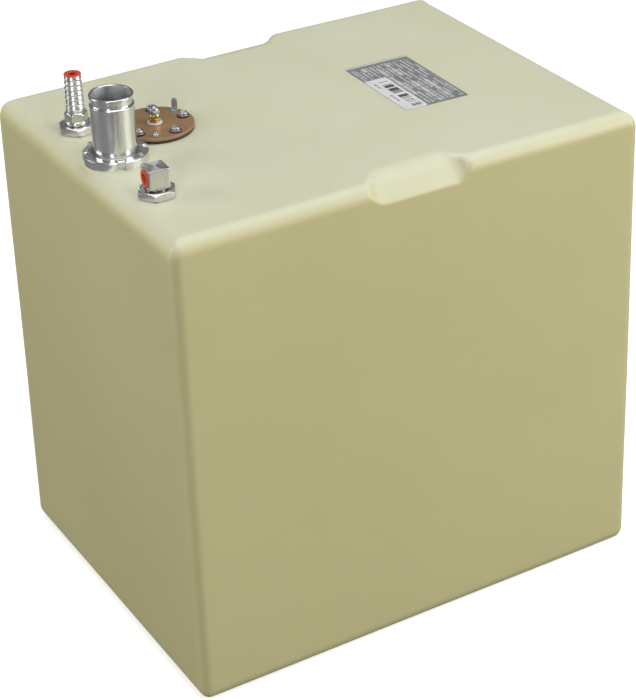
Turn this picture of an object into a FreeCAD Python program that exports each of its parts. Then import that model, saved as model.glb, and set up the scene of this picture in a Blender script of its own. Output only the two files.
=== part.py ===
import FreeCAD, Part

import os
import re

import Sketcher

# Portable liquid tank: a rotationally moulded plastic shell with a filler neck, a hose-barb
# vent, a pick-up elbow and an electric level sender, all in a group at one end of its top.
#
# Frame: origin at the middle of the base, +Z up, +X along the tank away from the fittings,
# +Y across it. Millimetres. Heights written with TOP are measured from the flat top.

SIZES = {
    # Moulded shell. Length and width are those at the top; the base is larger by the draft.
    "tank_length": 465.0,
    "tank_width": 349.0,
    "tank_height": 458.0,
    "end_draft": 2.5,
    "side_draft": 6.0,
    "wall": 6.0,
    "corner_radius": 10.0,
    "top_side_radius": 13.5,
    "top_end_radius": 18.0,
    "base_radius": 14.0,
    "boss_skin": 6.0,
    "boss_floor": 3.0,
    "fill_pad_margin": 0.8,
    # Tie-down strap notches in the two long top edges.
    "notch_length": 82.0,
    "notch_offset": 3.0,
    "notch_run": 18.7,
    "notch_drop": 17.3,
    "notch_tool": 20.0,
    # Places of the fittings: from the end face at the top, and from the centre line.
    "row_inset": 33.4,
    "fill_inset": 36.0,
    "fill_offset": -2.6,
    "vent_offset": 69.4,
    "outlet_offset": -84.6,
    "sender_inset": 92.2,
    "sender_offset": 35.3,
    # Clearances.
    "slip_gap": 0.2,
    "thread_gap": 0.1,
    "running_gap": 0.05,
    "sliding_gap": 0.3,
    "embed": 1.0,
    # Filler neck. Each step is how far a radius stands outside the neck's own.
    "neck_radius": 19.05,
    "neck_bore_radius": 16.5,
    "neck_height": 61.1,
    "neck_root": 2.4,
    "neck_rim_chamfer": 0.6,
    "bead_height": 54.8,
    "bead_width": 6.6,
    "bead_depth": 1.1,
    "spigot_wall": 2.35,
    "spigot_depth": 14.0,
    "flange_step": 5.15,
    "flange_thickness": 4.6,
    "gasket_thickness": 1.2,
    "fill_insert_step": 8.55,
    "fill_insert_lip": 2.0,
    "fill_insert_depth": 16.0,
    # Castellated lock ring and its two lock screws.
    "ring_step": 9.25,
    "ring_height": 8.6,
    "ring_bevel": 1.0,
    "ring_lip": 2.3,
    "slot_width": 7.4,
    "slot_depth": 3.2,
    "slot_count": 4.0,
    "slot_turn": -105.0,
    "lock_screw_step": 6.55,
    "lock_screw_turn": 121.0,
    "lock_screw_radius": 1.3,
    "lock_screw_depth": 7.0,
    "lock_head_radius": 2.4,
    "lock_head_height": 1.9,
    # Moulded-in bush, hexagon adapter and seal, alike under the vent and the outlet.
    "bush_radius": 13.0,
    "bush_bore_radius": 9.3,
    "bush_lip": 3.0,
    "bush_depth": 15.0,
    "lip_thickness": 3.0,
    "lip_cover": 8.0,
    "seal_radius": 13.6,
    "seal_thickness": 0.8,
    "hex_corner_radius": 17.4,
    "hex_height": 6.6,
    "hex_bevel": 1.9,
    "adapter_spigot_depth": 13.0,
    "adapter_bore_radius": 4.6,
    "adapter_thread_radius": 6.6,
    "adapter_thread_depth": 11.0,
    "vent_hex_turn": 11.0,
    "outlet_hex_turn": 1.5,
    # Vent hose barb and its push-in plug.
    "barb_hex_corner_radius": 10.6,
    "barb_hex_height": 12.0,
    "barb_hex_bevel": 2.2,
    "barb_crest_radius": 7.65,
    "barb_root_radius": 6.9,
    "barb_pitch": 4.55,
    "barb_taper": 0.75,
    "barb_count": 7.0,
    "barb_shoulder": 1.5,
    "barb_bore_radius": 5.0,
    "plug_rim_thickness": 1.3,
    "plug_wall": 1.0,
    "plug_stem_depth": 11.0,
    "plug_recess_radius": 3.9,
    # Outlet elbow, its plug, and the pick-up tube below it.
    "block_width": 19.0,
    "block_height": 18.5,
    "block_turn": -4.5,
    "block_edge": 1.2,
    "elbow_neck_height": 0.3,
    "elbow_neck_radius": 8.6,
    "port_radius": 6.6,
    "port_depth": 8.0,
    "port_plug_rim_radius": 7.7,
    "port_plug_rim_thickness": 0.9,
    "port_plug_recess_radius": 4.6,
    "tube_radius": 4.75,
    "tube_bore_radius": 3.9,
    "tube_socket_depth": 7.0,
    "tube_floor_gap": 16.0,
    "strainer_radius": 8.0,
    "strainer_wall": 1.0,
    "strainer_height": 32.0,
    "strainer_floor_gap": 8.0,
    "strainer_sleeve": 8.0,
    "strainer_window_width": 2.4,
    "strainer_window_height": 17.0,
    "strainer_window_count": 8.0,
    # Sender head: gasket, steel backing disc, phenolic plate and five clamp screws.
    "sender_opening_radius": 20.0,
    "sender_gasket_radius": 34.2,
    "sender_gasket_thickness": 1.8,
    "backing_radius": 33.0,
    "backing_thickness": 0.8,
    "plate_radius": 34.8,
    "plate_thickness": 2.8,
    "screw_circle": 27.0,
    "screw_turn": -3.0,
    "screw_count": 5.0,
    "screw_radius": 2.2,
    "screw_depth": 9.0,
    "screw_head_radius": 3.9,
    "screw_head_height": 2.7,
    "washer_radius": 5.0,
    "washer_thickness": 0.7,
    "rubber_washer_radius": 5.6,
    "rubber_washer_thickness": 1.4,
    "nut_insert_radius": 4.0,
    "nut_insert_depth": 11.0,
    "sender_boss_radius": 38.0,
    "sender_boss_depth": 17.0,
    "small_circle": 29.5,
    "small_screw_turn": -115.0,
    "small_screw_radius": 1.4,
    "small_screw_reach": 1.0,
    "small_head_radius": 2.75,
    "small_head_height": 3.6,
    # Ground tab on its hollow rivet.
    "tab_turn": 31.0,
    "tab_eye_radius": 3.6,
    "tab_thickness": 0.8,
    "tab_width": 5.8,
    "tab_height": 10.5,
    "tab_reach": 4.0,
    "rivet_radius": 1.5,
    "rivet_bore_radius": 0.9,
    "rivet_flange_radius": 2.3,
    "rivet_flange_thickness": 0.4,
    # Signal terminal through the middle of the plate.
    "stud_radius": 2.4,
    "stud_head_radius": 4.2,
    "stud_head_height": 2.4,
    "insulator_radius": 6.7,
    "insulator_thickness": 1.2,
    "insulator_sleeve_radius": 3.6,
    "brass_nut_corner_radius": 5.3,
    "brass_nut_height": 4.0,
    "lead_eye_thickness": 1.0,
    "lead_eye_radius": 5.2,
    "collar_radius": 4.9,
    "collar_height": 3.4,
    "cap_nut_corner_radius": 5.8,
    "cap_nut_height": 3.8,
    "cap_nut_dome_radius": 4.5,
    "cap_nut_dome_height": 3.6,
    # Hanging bracket, resistor housing and its working parts.
    "leg_width": 10.0,
    "leg_thickness": 1.2,
    "leg_offset": 8.2,
    "housing_length": 28.0,
    "housing_depth": 10.0,
    "housing_height": 40.0,
    "housing_wall": 1.5,
    "pivot_rise": 16.0,
    "leg_overhang": 5.0,
    "card_length": 22.0,
    "card_thickness": 0.8,
    "card_lift": 4.0,
    "shaft_radius": 1.5,
    "wiper_hub_radius": 2.9,
    "wiper_hub_length": 3.2,
    "wiper_reach": 10.0,
    "wiper_width": 2.4,
    "wiper_thickness": 0.6,
    "housing_rivet_radius": 1.4,
    "housing_rivet_head_radius": 2.4,
    "housing_rivet_head_height": 0.8,
    "housing_rivet_inset": 4.5,
    "lead_radius": 0.9,
    "lead_bend": 3.0,
    # Float and its arm.
    "arm_standoff": 4.0,
    "arm_bend": 4.0,
    "swing_half_angle": 55.0,
    "float_radius": 15.0,
    "float_length": 42.0,
    "float_floor_gap": 62.0,
    "float_bore_gap": 0.1,
    "clip_radius": 4.0,
    "clip_thickness": 1.0,
    "arm_tail": 3.0,
    # Rating label and the sticker on it.
    "label_x": 95.0,
    "label_y": -4.5,
    "label_length": 110.0,
    "label_width": 65.5,
    "label_thickness": 0.25,
    "label_turn": -1.0,
    "sticker_length": 74.0,
    "sticker_width": 22.5,
    "sticker_thickness": 0.15,
}

# Places and lengths that follow from the sizes above.
TOP = "tank_height"
ROW_X = "(row_inset - tank_length / 2)"
FILL_X = "(fill_inset - tank_length / 2)"
SENDER_X = "(sender_inset - tank_length / 2)"
SPIGOT_RADIUS = "(neck_radius + spigot_wall)"
FLANGE_RADIUS = "(neck_radius + flange_step)"
FILL_INSERT_RADIUS = "(neck_radius + fill_insert_step)"
RING_RADIUS = "(neck_radius + ring_step)"
LOCK_SCREW_CIRCLE = "(neck_radius + lock_screw_step)"
NUT_TOP = "(seal_thickness + hex_height)"
FLANGE_TOP = "(gasket_thickness + flange_thickness)"
SHANK_HEIGHT = "(barb_pitch * barb_count + barb_shoulder)"
BARB_TOP = f"({NUT_TOP} + barb_hex_height + {SHANK_HEIGHT})"
BLOCK_BASE = f"({NUT_TOP} + elbow_neck_height)"
PORT_HEIGHT = f"({BLOCK_BASE} + block_height / 2)"
PLATE_BASE = "(sender_gasket_thickness + backing_thickness)"
PLATE_TOP = f"({PLATE_BASE} + plate_thickness)"
SCREW_SEAT = f"({PLATE_TOP} + rubber_washer_thickness + washer_thickness)"
STACK_BASE = f"({PLATE_TOP} + insulator_thickness)"
COLLAR_BASE = f"({STACK_BASE} + brass_nut_height)"
CAP_BASE = f"({COLLAR_BASE} + collar_height)"
PIVOT_Z = "(tank_height / 2 + pivot_rise / 2)"
HOUSING_BACK = "(sender_offset - leg_offset + leg_thickness)"
HOUSING_BASE = f"({PIVOT_Z} - housing_height / 2)"
COVER_Y = f"({HOUSING_BACK} + housing_depth)"
CARD_HEIGHT = ("(housing_height / 2 - card_lift - housing_rivet_inset"
               " - housing_rivet_head_radius - sliding_gap)")
LEAD_X = f"({SENDER_X} + housing_length / 2 - 3 * housing_wall)"
ARM_Y = f"({COVER_Y} + housing_wall + arm_standoff)"
ARM_REACH = f"(({PIVOT_Z} - wall - float_floor_gap) / sin(swing_half_angle * 1 deg))"

doc = FreeCAD.newDocument("liquid_tank")
sheet = doc.addObject("Spreadsheet::Sheet", "Sizes")
nodes = []


def fill_sheet():
    """Write each size and its name into the sheet, one row each."""
    for row, (name, size) in enumerate(SIZES.items(), start=1):
        sheet.set(f"A{row}", name)
        sheet.set(f"B{row}", str(size))
        sheet.setAlias(f"B{row}", name)
    doc.recompute()


def linked(formula):
    """Point the size names in a formula at their cells in the sheet."""
    def cell(match):
        word = match.group(0)
        return f"Sizes.{word}" if word in SIZES else word
    return re.sub(r"[a-z][a-z_]*", cell, formula)


def value(formula):
    """Return what a formula over the sizes comes to now."""
    result = sheet.evalExpression(linked(formula))
    return float(getattr(result, "Value", result))


def bind(thing, **formulas):
    """Tie properties of an object to formulas over the sizes."""
    for name, formula in formulas.items():
        thing.setExpression(name, linked(formula))
    return thing


def place(thing, at, turn=None, axis=(0, 0, 1)):
    """Tie an object's position, and its turn about an axis in degrees, to formulas."""
    if turn is not None:
        turned_by = FreeCAD.Rotation(FreeCAD.Vector(*axis), value(turn))
        thing.Placement = FreeCAD.Placement(FreeCAD.Vector(), turned_by)
        thing.setExpression("Placement.Rotation.Angle", linked(f"({turn}) * 1 deg"))
    for letter, formula in zip("xyz", at):
        thing.setExpression(f"Placement.Base.{letter}", linked(formula))
    return thing


def outline_sketch(sketch, points):
    """Draw a closed outline whose corners are tied to formulas over the sizes."""
    corners = [(value(across), value(along)) for across, along in points]
    count = len(points)
    for index, (across, along) in enumerate(corners):
        end = corners[(index + 1) % count]
        line = Part.LineSegment(FreeCAD.Vector(across, along, 0), FreeCAD.Vector(*end, 0))
        sketch.addGeometry(line, False)
    for index, (across, along) in enumerate(points):
        sketch.addConstraint(Sketcher.Constraint("Coincident", index, 2, (index + 1) % count, 1))
        for kind, number, formula in (("DistanceX", 0, across), ("DistanceY", 1, along)):
            fixed = Sketcher.Constraint(kind, -1, 1, index, 1, corners[index][number])
            order = sketch.addConstraint(fixed)
            sketch.setExpression(f"Constraints[{order}]", linked(formula))


def body_sketch(body, plane, name="Profile"):
    """Attach a new sketch to one of a body's own origin planes."""
    sketch = body.newObject("Sketcher::SketchObject", name)
    support = next(item for item in body.Origin.OriginFeatures if item.Role == plane)
    sketch.AttachmentSupport = (support, [""])
    sketch.MapMode = "FlatFace"
    return sketch


def turned(name, points, at=("0", "0", "0"), turn=None, axis=(0, 0, 1)):
    """Make a body of revolution about its own Z from (radius, height) corners."""
    body = doc.addObject("PartDesign::Body", name)
    sketch = body_sketch(body, "XZ_Plane")
    outline_sketch(sketch, points)
    revolution = body.newObject("PartDesign::Revolution", "Turning")
    revolution.Profile = sketch
    revolution.ReferenceAxis = (sketch, ["V_Axis"])
    revolution.Angle = 360
    return place(body, at, turn, axis)


def prism(name, points, height, at=("0", "0", "0"), turn=None, axis=(0, 0, 1)):
    """Make a body by padding an outline upwards from its own XY plane."""
    body = doc.addObject("PartDesign::Body", name)
    sketch = body_sketch(body, "XY_Plane")
    outline_sketch(sketch, points)
    pad = body.newObject("PartDesign::Pad", "Pad")
    pad.Profile = sketch
    bind(pad, Length=height)
    return place(body, at, turn, axis)


def hexagon(corner_radius):
    """Return the corners of a hexagon with one corner on +X."""
    return [(f"{corner_radius} * cos({60 * side} deg)", f"{corner_radius} * sin({60 * side} deg)")
            for side in range(6)]


def cylinder(name, radius, height, at, turn=None, axis=(0, 0, 1)):
    """Make a plain cylinder along its own Z."""
    solid = bind(doc.addObject("Part::Cylinder", name), Radius=radius, Height=height)
    return place(solid, at, turn, axis)


def box(name, size, at, turn=None):
    """Make a plain box from its lowest corner."""
    length, width, height = size
    solid = bind(doc.addObject("Part::Box", name), Length=length, Width=width, Height=height)
    return place(solid, at, turn)


def fused(name, solids):
    """Join touching solids into one."""
    joined = doc.addObject("Part::MultiFuse", name)
    joined.Shapes = solids
    return joined


def cut(name, base, tools):
    """Cut one or more tools out of a solid."""
    result = doc.addObject("Part::Cut", name)
    result.Base = base
    result.Tool = tools[0] if len(tools) == 1 else fused(f"{name}Tools", tools)
    return result


def common(name, solids):
    """Keep what all the solids share."""
    result = doc.addObject("Part::MultiCommon", name)
    result.Shapes = solids
    return result


def grouped(name, solids):
    """Keep identical pieces together as separate solids of one node."""
    group = doc.addObject("Part::Compound", name)
    group.Links = solids
    return group


def node(label, thing):
    """Name a finished piece and list it for export."""
    thing.Label = label
    nodes.append(thing)
    return thing


def around(centre_x, centre_y, radius, degrees):
    """Return the plan position at an angle on a circle round a centre."""
    across = f"{centre_x} + {radius} * cos(({degrees}) * 1 deg)"
    along = f"{centre_y} + {radius} * sin(({degrees}) * 1 deg)"
    return across, along


# ---------------------------------------------------------------- moulded shell

def rectangle_wire(name, length, width, height):
    """Draw a centred rectangle at a height, for one end of a drafted block."""
    sketch = doc.addObject("Sketcher::SketchObject", name)
    corners = ((-1, -1), (1, -1), (1, 1), (-1, 1))
    outline_sketch(sketch, [(f"{sx} * ({length}) / 2", f"{sy} * ({width}) / 2")
                            for sx, sy in corners])
    return place(sketch, ("0", "0", height))


def drafted_block(name, inset):
    """Loft the tank's block between base and top, set in all round by a distance."""
    base = rectangle_wire(f"{name}Base", f"tank_length + 2 * end_draft - 2 * {inset}",
                          f"tank_width + 2 * side_draft - 2 * {inset}", inset)
    top = rectangle_wire(f"{name}Top", f"tank_length - 2 * {inset}",
                         f"tank_width - 2 * {inset}", f"{TOP} - {inset}")
    loft = doc.addObject("Part::Loft", name)
    loft.Sections = [base, top]
    loft.Solid = True
    loft.Ruled = True
    doc.recompute()
    return loft


def edge_radius(edge, inset):
    """Choose the radius of one edge of the block from where the edge lies."""
    box_of_edge = edge.BoundBox
    if box_of_edge.ZLength > value("tank_height") / 2:
        name = "corner_radius"
    elif box_of_edge.ZMax < value("tank_height") / 2:
        name = "base_radius"
    elif box_of_edge.XLength > box_of_edge.YLength:
        name = "top_side_radius"
    else:
        name = "top_end_radius"
    return value(f"{name} - {inset}")


def rounded_block(name, inset):
    """Round every edge of a drafted block, less by the inset than on the outside."""
    loft = drafted_block(f"{name}Loft", inset)
    rounded = doc.addObject("Part::Fillet", name)
    rounded.Base = loft
    radii = [edge_radius(edge, inset) for edge in loft.Shape.Edges]
    rounded.Edges = [(number, radius, radius) for number, radius in enumerate(radii, start=1)]
    return rounded


def strap_notches(name, sunk):
    """Make the pair of ramp-ended tools that flatten the long top edges.

    Each tool's floor runs from the flat top down to the side wall. sunk moves the floor
    in square to itself, which keeps the wall's thickness behind the notch.
    """
    tool = doc.addObject("Part::Wedge", f"{name}Near")
    floor = f"(notch_length / 2 + {sunk})"
    mouth = f"({floor} + notch_tool + {sunk})"
    bind(tool, Ymin=f"0 - {sunk}", Ymax="notch_tool", Xmin=f"0 - {floor}", Xmax=floor,
         X2min=f"0 - {mouth}", X2max=mouth, Zmin="0 - notch_tool", Z2min="0 - notch_tool",
         Zmax="2 * notch_tool", Z2max="2 * notch_tool")
    place(tool, ("notch_offset", "notch_run - tank_width / 2", TOP),
          "180 - atan(notch_run / notch_drop) / 1 deg", (1, 0, 0))
    mirrored = doc.addObject("Part::Mirroring", f"{name}Far")
    mirrored.Source = tool
    mirrored.Normal = FreeCAD.Vector(0, 1, 0)
    return [tool, mirrored]


def boss(name, radius, depth, centre_x, centre_y):
    """Thicken the top wall from inside, round a moulded-in insert."""
    return cylinder(name, radius, f"{depth} - wall / 2", (centre_x, centre_y, f"{TOP} - {depth}"))


def through_top(name, radius, centre_x, centre_y, depth):
    """Make the hole tool that opens the top wall and the boss under it."""
    return cylinder(name, radius, f"{depth} + 2 * embed",
                    (centre_x, centre_y, f"{TOP} - {depth} - embed"))


def tank_shell(fill_insert, vent_bush, outlet_bush, nut_inserts):
    """Hollow the block, add the bosses and open the top for each fitting."""
    outside = cut("NotchedBlock", rounded_block("OuterBlock", "0"), strap_notches("Notch", "0"))
    inside = cut("NotchedCavity", rounded_block("Cavity", "wall"), strap_notches("InnerNotch", "wall"))
    hollow = cut("HollowBlock", outside, [inside])
    envelope = outside.Base
    fill_depth = "(fill_insert_depth + boss_floor)"
    bush_depth = "(bush_depth + boss_floor)"
    bosses = [
        common("FillBossInside", [boss("FillBoss", f"{FILL_INSERT_RADIUS} + fill_insert_lip + boss_skin",
                                       fill_depth, FILL_X, "fill_offset"), envelope]),
        cylinder("FillPad", f"{RING_RADIUS} + fill_pad_margin", fill_depth,
                 (FILL_X, "fill_offset", f"{TOP} - {fill_depth}")),
        boss("VentBoss", "bush_radius + bush_lip + boss_skin", bush_depth, ROW_X, "vent_offset"),
        boss("OutletBoss", "bush_radius + bush_lip + boss_skin", bush_depth, ROW_X, "outlet_offset"),
        boss("SenderBoss", "sender_boss_radius", "sender_boss_depth", SENDER_X, "sender_offset"),
    ]
    holes = [
        through_top("FillHole", f"{SPIGOT_RADIUS} + slip_gap + embed", FILL_X, "fill_offset", fill_depth),
        through_top("VentHole", "bush_bore_radius + embed", ROW_X, "vent_offset", bush_depth),
        through_top("OutletHole", "bush_bore_radius + embed", ROW_X, "outlet_offset", bush_depth),
        through_top("SenderHole", "sender_opening_radius", SENDER_X, "sender_offset",
                    "sender_boss_depth"),
    ]
    thickened = fused("ThickenedBlock", [hollow] + bosses)
    moulded_in = [fill_insert.Base, vent_bush, outlet_bush, nut_inserts]
    screw_wells = [screw_well(index) for index in range(int(SIZES["screw_count"]))]
    return node("tank_shell", cut("Shell", thickened, holes + moulded_in + screw_wells))


def screw_well(index):
    """Clear the plastic inside and above one thread insert of the sender."""
    spot = around(SENDER_X, "sender_offset", "screw_circle", screw_angle(index))
    return cylinder(f"ScrewWell{index}", "screw_radius + 2 * thread_gap", "nut_insert_depth + embed",
                    (*spot, f"{TOP} - nut_insert_depth"))


# ---------------------------------------------------------------- moulded-in metal

def lipped_insert(name, bore, radius, lip, depth, centre):
    """Turn a moulded-in bush with a lip that the plastic grips."""
    lip_top = "(0 - lip_cover)"
    lip_base = "(0 - lip_cover - lip_thickness)"
    corners = [(bore, f"0 - {depth}"), (radius, f"0 - {depth}"), (radius, lip_base),
               (f"{radius} + {lip}", lip_base), (f"{radius} + {lip}", lip_top),
               (radius, lip_top), (radius, "0"), (bore, "0")]
    return turned(name, corners, (*centre, TOP))


def screw_angle(index):
    """Return where one of the sender's clamp screws stands, in degrees."""
    return f"screw_turn + {index} * 360 / screw_count"


def thread_inserts():
    """Set a brass thread insert under each of the sender's clamp screws."""
    inserts = []
    for index in range(int(SIZES["screw_count"])):
        spot = around(SENDER_X, "sender_offset", "screw_circle", screw_angle(index))
        bore = "screw_radius + thread_gap"
        corners = [(bore, "0 - nut_insert_depth"), ("nut_insert_radius", "0 - nut_insert_depth"),
                   ("nut_insert_radius", "0"), (bore, "0")]
        inserts.append(turned(f"ThreadInsert{index}", corners, (*spot, TOP)))
    return node("sender_thread_inserts", grouped("ThreadInserts", inserts))


# ---------------------------------------------------------------- filler neck

def lock_screw_spots():
    """Return the plan positions of the two lock screws, opposite each other."""
    return [around(FILL_X, "fill_offset", LOCK_SCREW_CIRCLE, f"lock_screw_turn + {half} * 180")
            for half in range(2)]


def fill_insert_part():
    """Make the large insert, tapped for the two lock screws."""
    blank = lipped_insert("FillInsertBlank", f"{SPIGOT_RADIUS} + slip_gap", FILL_INSERT_RADIUS,
                          "fill_insert_lip", "fill_insert_depth", (FILL_X, "fill_offset"))
    taps = [cylinder(f"LockTap{half}", "lock_screw_radius + thread_gap", "lock_screw_depth + 2 * embed",
                     (*spot, f"{TOP} - lock_screw_depth - embed"))
            for half, spot in enumerate(lock_screw_spots())]
    return node("fill_insert", cut("FillInsert", blank, taps))


def fill_neck():
    """Turn the filler neck: spigot, clamped flange, hose barrel with its bead groove."""
    groove_top = "(bead_height + bead_width / 2)"
    groove_base = "(bead_height - bead_width / 2)"
    groove_radius = "neck_radius - bead_depth"
    corners = [
        ("neck_bore_radius", "0 - spigot_depth"),
        (SPIGOT_RADIUS, "0 - spigot_depth"),
        (SPIGOT_RADIUS, "gasket_thickness"),
        (FLANGE_RADIUS, "gasket_thickness"),
        (FLANGE_RADIUS, FLANGE_TOP),
        ("neck_radius + neck_root", FLANGE_TOP),
        ("neck_radius + neck_root / 3", f"{FLANGE_TOP} + neck_root / 3"),
        ("neck_radius", f"{FLANGE_TOP} + neck_root"),
        ("neck_radius", groove_base),
        (groove_radius, f"{groove_base} + bead_depth"),
        (groove_radius, f"{groove_top} - bead_depth"),
        ("neck_radius", groove_top),
        ("neck_radius", "neck_height - neck_rim_chamfer"),
        ("neck_radius - neck_rim_chamfer", "neck_height"),
        ("neck_bore_radius", "neck_height"),
    ]
    return node("fill_neck", turned("FillNeck", corners, (FILL_X, "fill_offset", TOP)))


def fill_gasket():
    """Seal the neck's flange to the insert."""
    inner = f"{SPIGOT_RADIUS} + slip_gap"
    corners = [(inner, "0"), (FLANGE_RADIUS, "0"), (FLANGE_RADIUS, "gasket_thickness"),
               (inner, "gasket_thickness")]
    return node("fill_gasket", turned("FillGasket", corners, (FILL_X, "fill_offset", TOP)))


def fill_lock_ring():
    """Turn the clamp ring, then mill its spanner slots and the lock screws' holes."""
    inner = f"{FLANGE_RADIUS} + slip_gap"
    corners = [
        (inner, "0"),
        (RING_RADIUS, "0"),
        (RING_RADIUS, "ring_height - ring_bevel"),
        (f"{RING_RADIUS} - ring_bevel", "ring_height"),
        (f"{FLANGE_RADIUS} - ring_lip + ring_bevel", "ring_height"),
        (f"{FLANGE_RADIUS} - ring_lip", "ring_height - ring_bevel"),
        (f"{FLANGE_RADIUS} - ring_lip", FLANGE_TOP),
        (inner, FLANGE_TOP),
    ]
    blank = turned("LockRingBlank", corners, (FILL_X, "fill_offset", TOP))
    tools = []
    for index in range(int(SIZES["slot_count"])):
        angle = f"slot_turn + {index} * 360 / slot_count"
        slot = prism(f"Slot{index}", [(f"{RING_RADIUS} - slot_depth", "0 - slot_width / 2"),
                                      (f"{RING_RADIUS} + embed", "0 - slot_width / 2"),
                                      (f"{RING_RADIUS} + embed", "slot_width / 2"),
                                      (f"{RING_RADIUS} - slot_depth", "slot_width / 2")],
                     "ring_height + 2 * embed", (FILL_X, "fill_offset", f"{TOP} - embed"), angle)
        tools.append(slot)
    for half, spot in enumerate(lock_screw_spots()):
        tools.append(cylinder(f"LockHole{half}", "lock_screw_radius + thread_gap",
                              "ring_height + 2 * embed", (*spot, f"{TOP} - embed")))
    return node("fill_lock_ring", cut("LockRing", blank, tools))


def pan_screw(name, spot, seat, radius, depth, head_radius, head_height):
    """Turn a pan-head screw with a slightly domed head and a driver recess."""
    recess = f"{head_radius} / 3"
    corners = [
        ("0", f"0 - {depth}"), (radius, f"0 - {depth}"), (radius, "0"), (head_radius, "0"),
        (head_radius, f"{head_height} / 2"), (f"{head_radius} * 0.75", head_height),
        (recess, head_height), ("0", f"{head_height} / 2"),
    ]
    return turned(name, corners, (*spot, f"{TOP} + {seat}"))


def fill_lock_screws():
    """Fit the two small screws that stop the lock ring turning."""
    screws = [pan_screw(f"LockScrew{half}", spot, "ring_height", "lock_screw_radius",
                        "(ring_height + lock_screw_depth)", "lock_head_radius", "lock_head_height")
              for half, spot in enumerate(lock_screw_spots())]
    return node("fill_lock_screws", grouped("LockScrews", screws))


# ---------------------------------------------------------------- vent and outlet

def hex_adapter(name, centre_y, turn, socket):
    """Make a bevelled hexagon with a spigot in the bush and a stepped bore.

    socket widens the bottom of the bore, where the outlet takes the pick-up tube.
    """
    hexagon_part = prism(f"{name}Hex", hexagon("hex_corner_radius"), "hex_height",
                         (ROW_X, centre_y, f"{TOP} + seal_thickness"), turn)
    envelope = turned(f"{name}Bevel", [
        ("0", "0"), ("hex_corner_radius", "0"),
        ("hex_corner_radius", "hex_height - hex_bevel * 0.6"),
        ("hex_corner_radius - hex_bevel", "hex_height"), ("0", "hex_height"),
    ], (ROW_X, centre_y, f"{TOP} + seal_thickness"))
    spigot = cylinder(f"{name}Spigot", "bush_bore_radius - thread_gap",
                      "adapter_spigot_depth + seal_thickness + embed",
                      (ROW_X, centre_y, f"{TOP} - adapter_spigot_depth"))
    solid = fused(f"{name}Blank", [common(f"{name}Head", [hexagon_part, envelope]), spigot])
    bores = [
        through_top(f"{name}Bore", "adapter_bore_radius", ROW_X, centre_y,
                    "(adapter_spigot_depth + embed)"),
        cylinder(f"{name}Thread", "adapter_thread_radius", "adapter_thread_depth + embed",
                 (ROW_X, centre_y, f"{TOP} + {NUT_TOP} - adapter_thread_depth")),
        cylinder(f"{name}Socket", socket, "tube_socket_depth + embed",
                 (ROW_X, centre_y, f"{TOP} - adapter_spigot_depth - embed")),
    ]
    return cut(name, solid, bores)


def flat_ring(name, inner, outer, thickness, at):
    """Turn a flat washer, seal or gasket."""
    corners = [(inner, "0"), (outer, "0"), (outer, thickness), (inner, thickness)]
    return turned(name, corners, at)


def adapter_seal(name, centre_y):
    """Seal an adapter's hexagon to the tank."""
    return flat_ring(name, "bush_bore_radius + slip_gap", "seal_radius", "seal_thickness",
                     (ROW_X, centre_y, TOP))


def vent_barb():
    """Make the vent's hose barb with its own small hexagon and threaded foot."""
    seat = (ROW_X, "vent_offset", f"{TOP} + {NUT_TOP}")
    hexagon_part = prism("BarbHex", hexagon("barb_hex_corner_radius"), "barb_hex_height", seat,
                         "vent_hex_turn + 30")
    envelope = turned("BarbHexBevel", [
        ("0", "0"), ("barb_hex_corner_radius - barb_hex_bevel / 2", "0"),
        ("barb_hex_corner_radius", "barb_hex_bevel / 2"),
        ("barb_hex_corner_radius", "barb_hex_height - barb_hex_bevel"),
        ("barb_hex_corner_radius - barb_hex_bevel", "barb_hex_height"), ("0", "barb_hex_height"),
    ], seat)
    foot_crest = "barb_crest_radius + barb_taper"
    corners = [("0", "barb_hex_height - embed"), (foot_crest, "barb_hex_height - embed"),
               (foot_crest, "barb_hex_height + barb_shoulder")]
    for index in range(int(SIZES["barb_count"])):
        base = f"barb_hex_height + barb_shoulder + {index} * barb_pitch"
        wider = f"barb_taper * (barb_count - 1 - {index}) / (barb_count - 1)"
        corners.append((f"barb_root_radius + {wider}", base + " + barb_pitch * 0.12"))
        corners.append((f"barb_crest_radius + {wider}", base + " + barb_pitch * 0.3"))
    corners.append(("barb_root_radius", f"barb_hex_height + {SHANK_HEIGHT}"))
    corners.append(("0", f"barb_hex_height + {SHANK_HEIGHT}"))
    shank = turned("BarbShank", corners, seat)
    foot = cylinder("BarbFoot", "adapter_thread_radius - thread_gap", "adapter_thread_depth",
                    (ROW_X, "vent_offset", f"{TOP} + {NUT_TOP} + embed - adapter_thread_depth"))
    solid = fused("BarbBlank", [common("BarbHead", [hexagon_part, envelope]), shank, foot])
    bore = cylinder("BarbBore", "barb_bore_radius",
                    f"adapter_thread_depth + barb_hex_height + {SHANK_HEIGHT} + embed",
                    (ROW_X, "vent_offset", f"{TOP} + {NUT_TOP} - adapter_thread_depth"))
    return node("vent_barb", cut("VentBarb", solid, [bore]))


def push_plug(name, rim_radius, rim_thickness, stem_radius, stem_depth, recess, at):
    """Turn a hollow push-in plug: rim outside, cupped stem inside."""
    corners = [
        ("0", f"0 - {stem_depth}"), (stem_radius, f"0 - {stem_depth}"), (stem_radius, "0"),
        (rim_radius, "0"), (rim_radius, rim_thickness), (recess, rim_thickness),
        (recess, f"plug_wall - {stem_depth}"), ("0", f"plug_wall - {stem_depth}"),
    ]
    return turned(name, corners, at)


def vent_plug():
    """Cap the hose barb with a push-in plug."""
    at = (ROW_X, "vent_offset", f"{TOP} + {BARB_TOP}")
    return node("vent_plug", push_plug("VentPlug", "barb_crest_radius", "plug_rim_thickness",
                                       "barb_bore_radius - sliding_gap / 2", "plug_stem_depth",
                                       "plug_recess_radius", at))


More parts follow.
